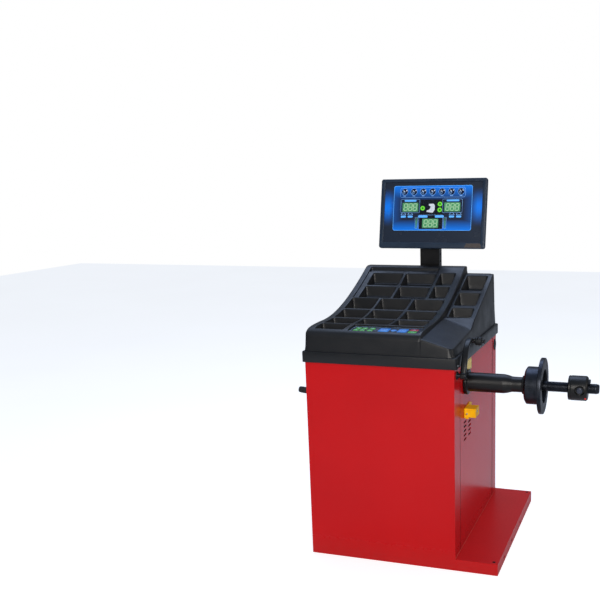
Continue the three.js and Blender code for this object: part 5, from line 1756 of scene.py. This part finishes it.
class BALANCER_OT_stage(bpy.types.Operator):
    """Pale floor, soft studio lamps and the camera"""

    bl_idname = "balancer.stage"
    bl_label = "Stage and camera"

    def execute(self, context):
        scene = context.scene
        side = np.linspace(-9, 9, 25)
        x, y = np.meshgrid(side, side, indexing="ij")
        cloud = np.stack([x, y, np.zeros_like(x)], -1).reshape(-1, 3)
        mesh = bpy.data.meshes.new("studio_floor")
        mesh.from_pydata(cloud.tolist(), [], lattice(25, 25))
        mesh.materials.append(finish("studio_floor"))
        floor = bpy.data.objects.new("studio_floor", mesh)
        scene.collection.objects.link(floor)

        # Colours are shown as they are, so a white wall stays white.
        scene.view_settings.view_transform = "Standard"
        world = bpy.data.worlds.new("studio_air")
        scene.world = world
        world.use_nodes = True
        self.light_dome(world.node_tree)
        # Place, size, power and colour of each soft lamp; all of them face the middle of the machine.
        for name, spot, size, power, colour in (
            ("key_lamp", (0.9, -4.2, 2.1), 2.0, 112, "#fffaf4"),
            ("sky_lamp", (-0.3, 1.1, 3.5), 2.2, 44, "#c4d8ff"),
            ("side_lamp", (3.4, -0.6, 1.8), 1.4, 14, "#fff6ec"),
        ):
            lamp = bpy.data.lights.new(name, "AREA")
            lamp.size = size
            lamp.energy = power
            lamp.color = linear(colour)[:3]
            holder = bpy.data.objects.new(name, lamp)
            aim = np.array([0.0, 0.0, 0.7]) - spot
            holder.matrix_world = facing(np.array(spot), aim / np.linalg.norm(aim))
            holder.visible_camera = False
            scene.collection.objects.link(holder)
        self.add_camera(scene)
        return {"FINISHED"}

    def light_dome(self, tree):
        """Air of the studio: dim at the horizon and pale blue overhead, mixed by the height of the
        direction. The wall behind shows whiter than it shines, so that gloss stays calm."""
        air = tree.nodes["Background"]
        ways = add_node(tree, "ShaderNodeTexCoord")
        height = add_node(tree, "ShaderNodeSeparateXYZ", {0: ways.outputs["Generated"]})
        share = add_node(
            tree,
            "ShaderNodeMapRange",
            {"Value": height.outputs[2], "From Min": 0.1, "From Max": 0.9},
            interpolation_type="SMOOTHSTEP",
        )
        dome = add_node(
            tree,
            "ShaderNodeMix",
            {0: share.outputs[0], 6: (0.18, 0.19, 0.21, 1.0), 7: (0.36, 0.42, 0.52, 1.0)},
            data_type="RGBA",
        )
        path = add_node(tree, "ShaderNodeLightPath")
        shown = add_node(
            tree,
            "ShaderNodeMix",
            {0: path.outputs["Is Camera Ray"], 6: dome.outputs[2], 7: (1.0, 1.0, 1.0, 1.0)},
            data_type="RGBA",
        )
        tree.links.new(shown.outputs[2], air.inputs["Color"])

    def add_camera(self, scene):
        """Camera at the front right of the machine: it looks 18 degrees to the left of straight back
        and 11.5 degrees down, and leans 1.1 degrees."""
        yaw, pitch, roll = np.radians((18.275, 11.509, -1.096))
        forward = np.array([-np.sin(yaw) * np.cos(pitch), np.cos(yaw) * np.cos(pitch), -np.sin(pitch)])
        lens = bpy.data.cameras.new("studio_camera")
        lens.lens = 50.07
        lens.sensor_width = 36.0
        lens.shift_x = -0.1667
        lens.shift_y = 0.075
        camera = bpy.data.objects.new("studio_camera", lens)
        camera.matrix_world = facing(np.array([0.7982, -3.06535, 1.398]), forward, roll)
        scene.collection.objects.link(camera)
        scene.camera = camera


def facing(place, forward, roll=0.0):
    """Matrix of a lamp or camera at a place: its -Z looks along forward, its Y is up, turned by roll."""
    right = np.cross(forward, [0, 0, 1])
    right /= np.linalg.norm(right)
    up = np.cross(right, forward)
    level_right = right * np.cos(roll) + up * np.sin(roll)
    level_up = up * np.cos(roll) - right * np.sin(roll)
    turn = np.eye(4)
    turn[:3, :3] = np.column_stack([level_right, level_up, -forward])
    turn[:3, 3] = place
    return Matrix(turn.tolist())


# ---------------------------------------------------------------- panel and registration


class BALANCER_PT_panel(bpy.types.Panel):
    """Values and builders of the wheel balancer machine"""

    bl_idname = "BALANCER_PT_panel"
    bl_label = "Wheel balancer"
    bl_space_type = "VIEW_3D"
    bl_region_type = "UI"
    bl_category = "Balancer"

    def draw(self, context):
        for group in (context.scene.balancer_sizes, context.scene.balancer_colours):
            for name in group.__annotations__:
                self.layout.prop(group, name)
        for operator in OPERATORS:
            self.layout.operator(operator.bl_idname)


OPERATORS = (
    BALANCER_OT_stage,
    BALANCER_OT_cabinet,
    BALANCER_OT_weight_tray,
    BALANCER_OT_keypad,
    BALANCER_OT_small_fittings,
    BALANCER_OT_pegs,
    BALANCER_OT_spindle,
    BALANCER_OT_quick_nut,
    BALANCER_OT_drive,
    BALANCER_OT_gauge,
    BALANCER_OT_monitor,
    BALANCER_OT_screen,
    BALANCER_OT_inlet,
)
CLASSES = (BalancerSizes, BalancerColours, BALANCER_PT_panel) + OPERATORS


def register():
    for made in CLASSES:
        bpy.utils.register_class(made)
    bpy.types.Scene.balancer_sizes = PointerProperty(type=BalancerSizes)
    bpy.types.Scene.balancer_colours = PointerProperty(type=BalancerColours)


def unregister():
    del bpy.types.Scene.balancer_colours
    del bpy.types.Scene.balancer_sizes
    for made in reversed(CLASSES):
        bpy.utils.unregister_class(made)


def main():
    register()
    for operator in OPERATORS:
        group, name = operator.bl_idname.split(".")
        getattr(getattr(bpy.ops, group), name)()
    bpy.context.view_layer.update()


if __name__ == "__main__":
    main()
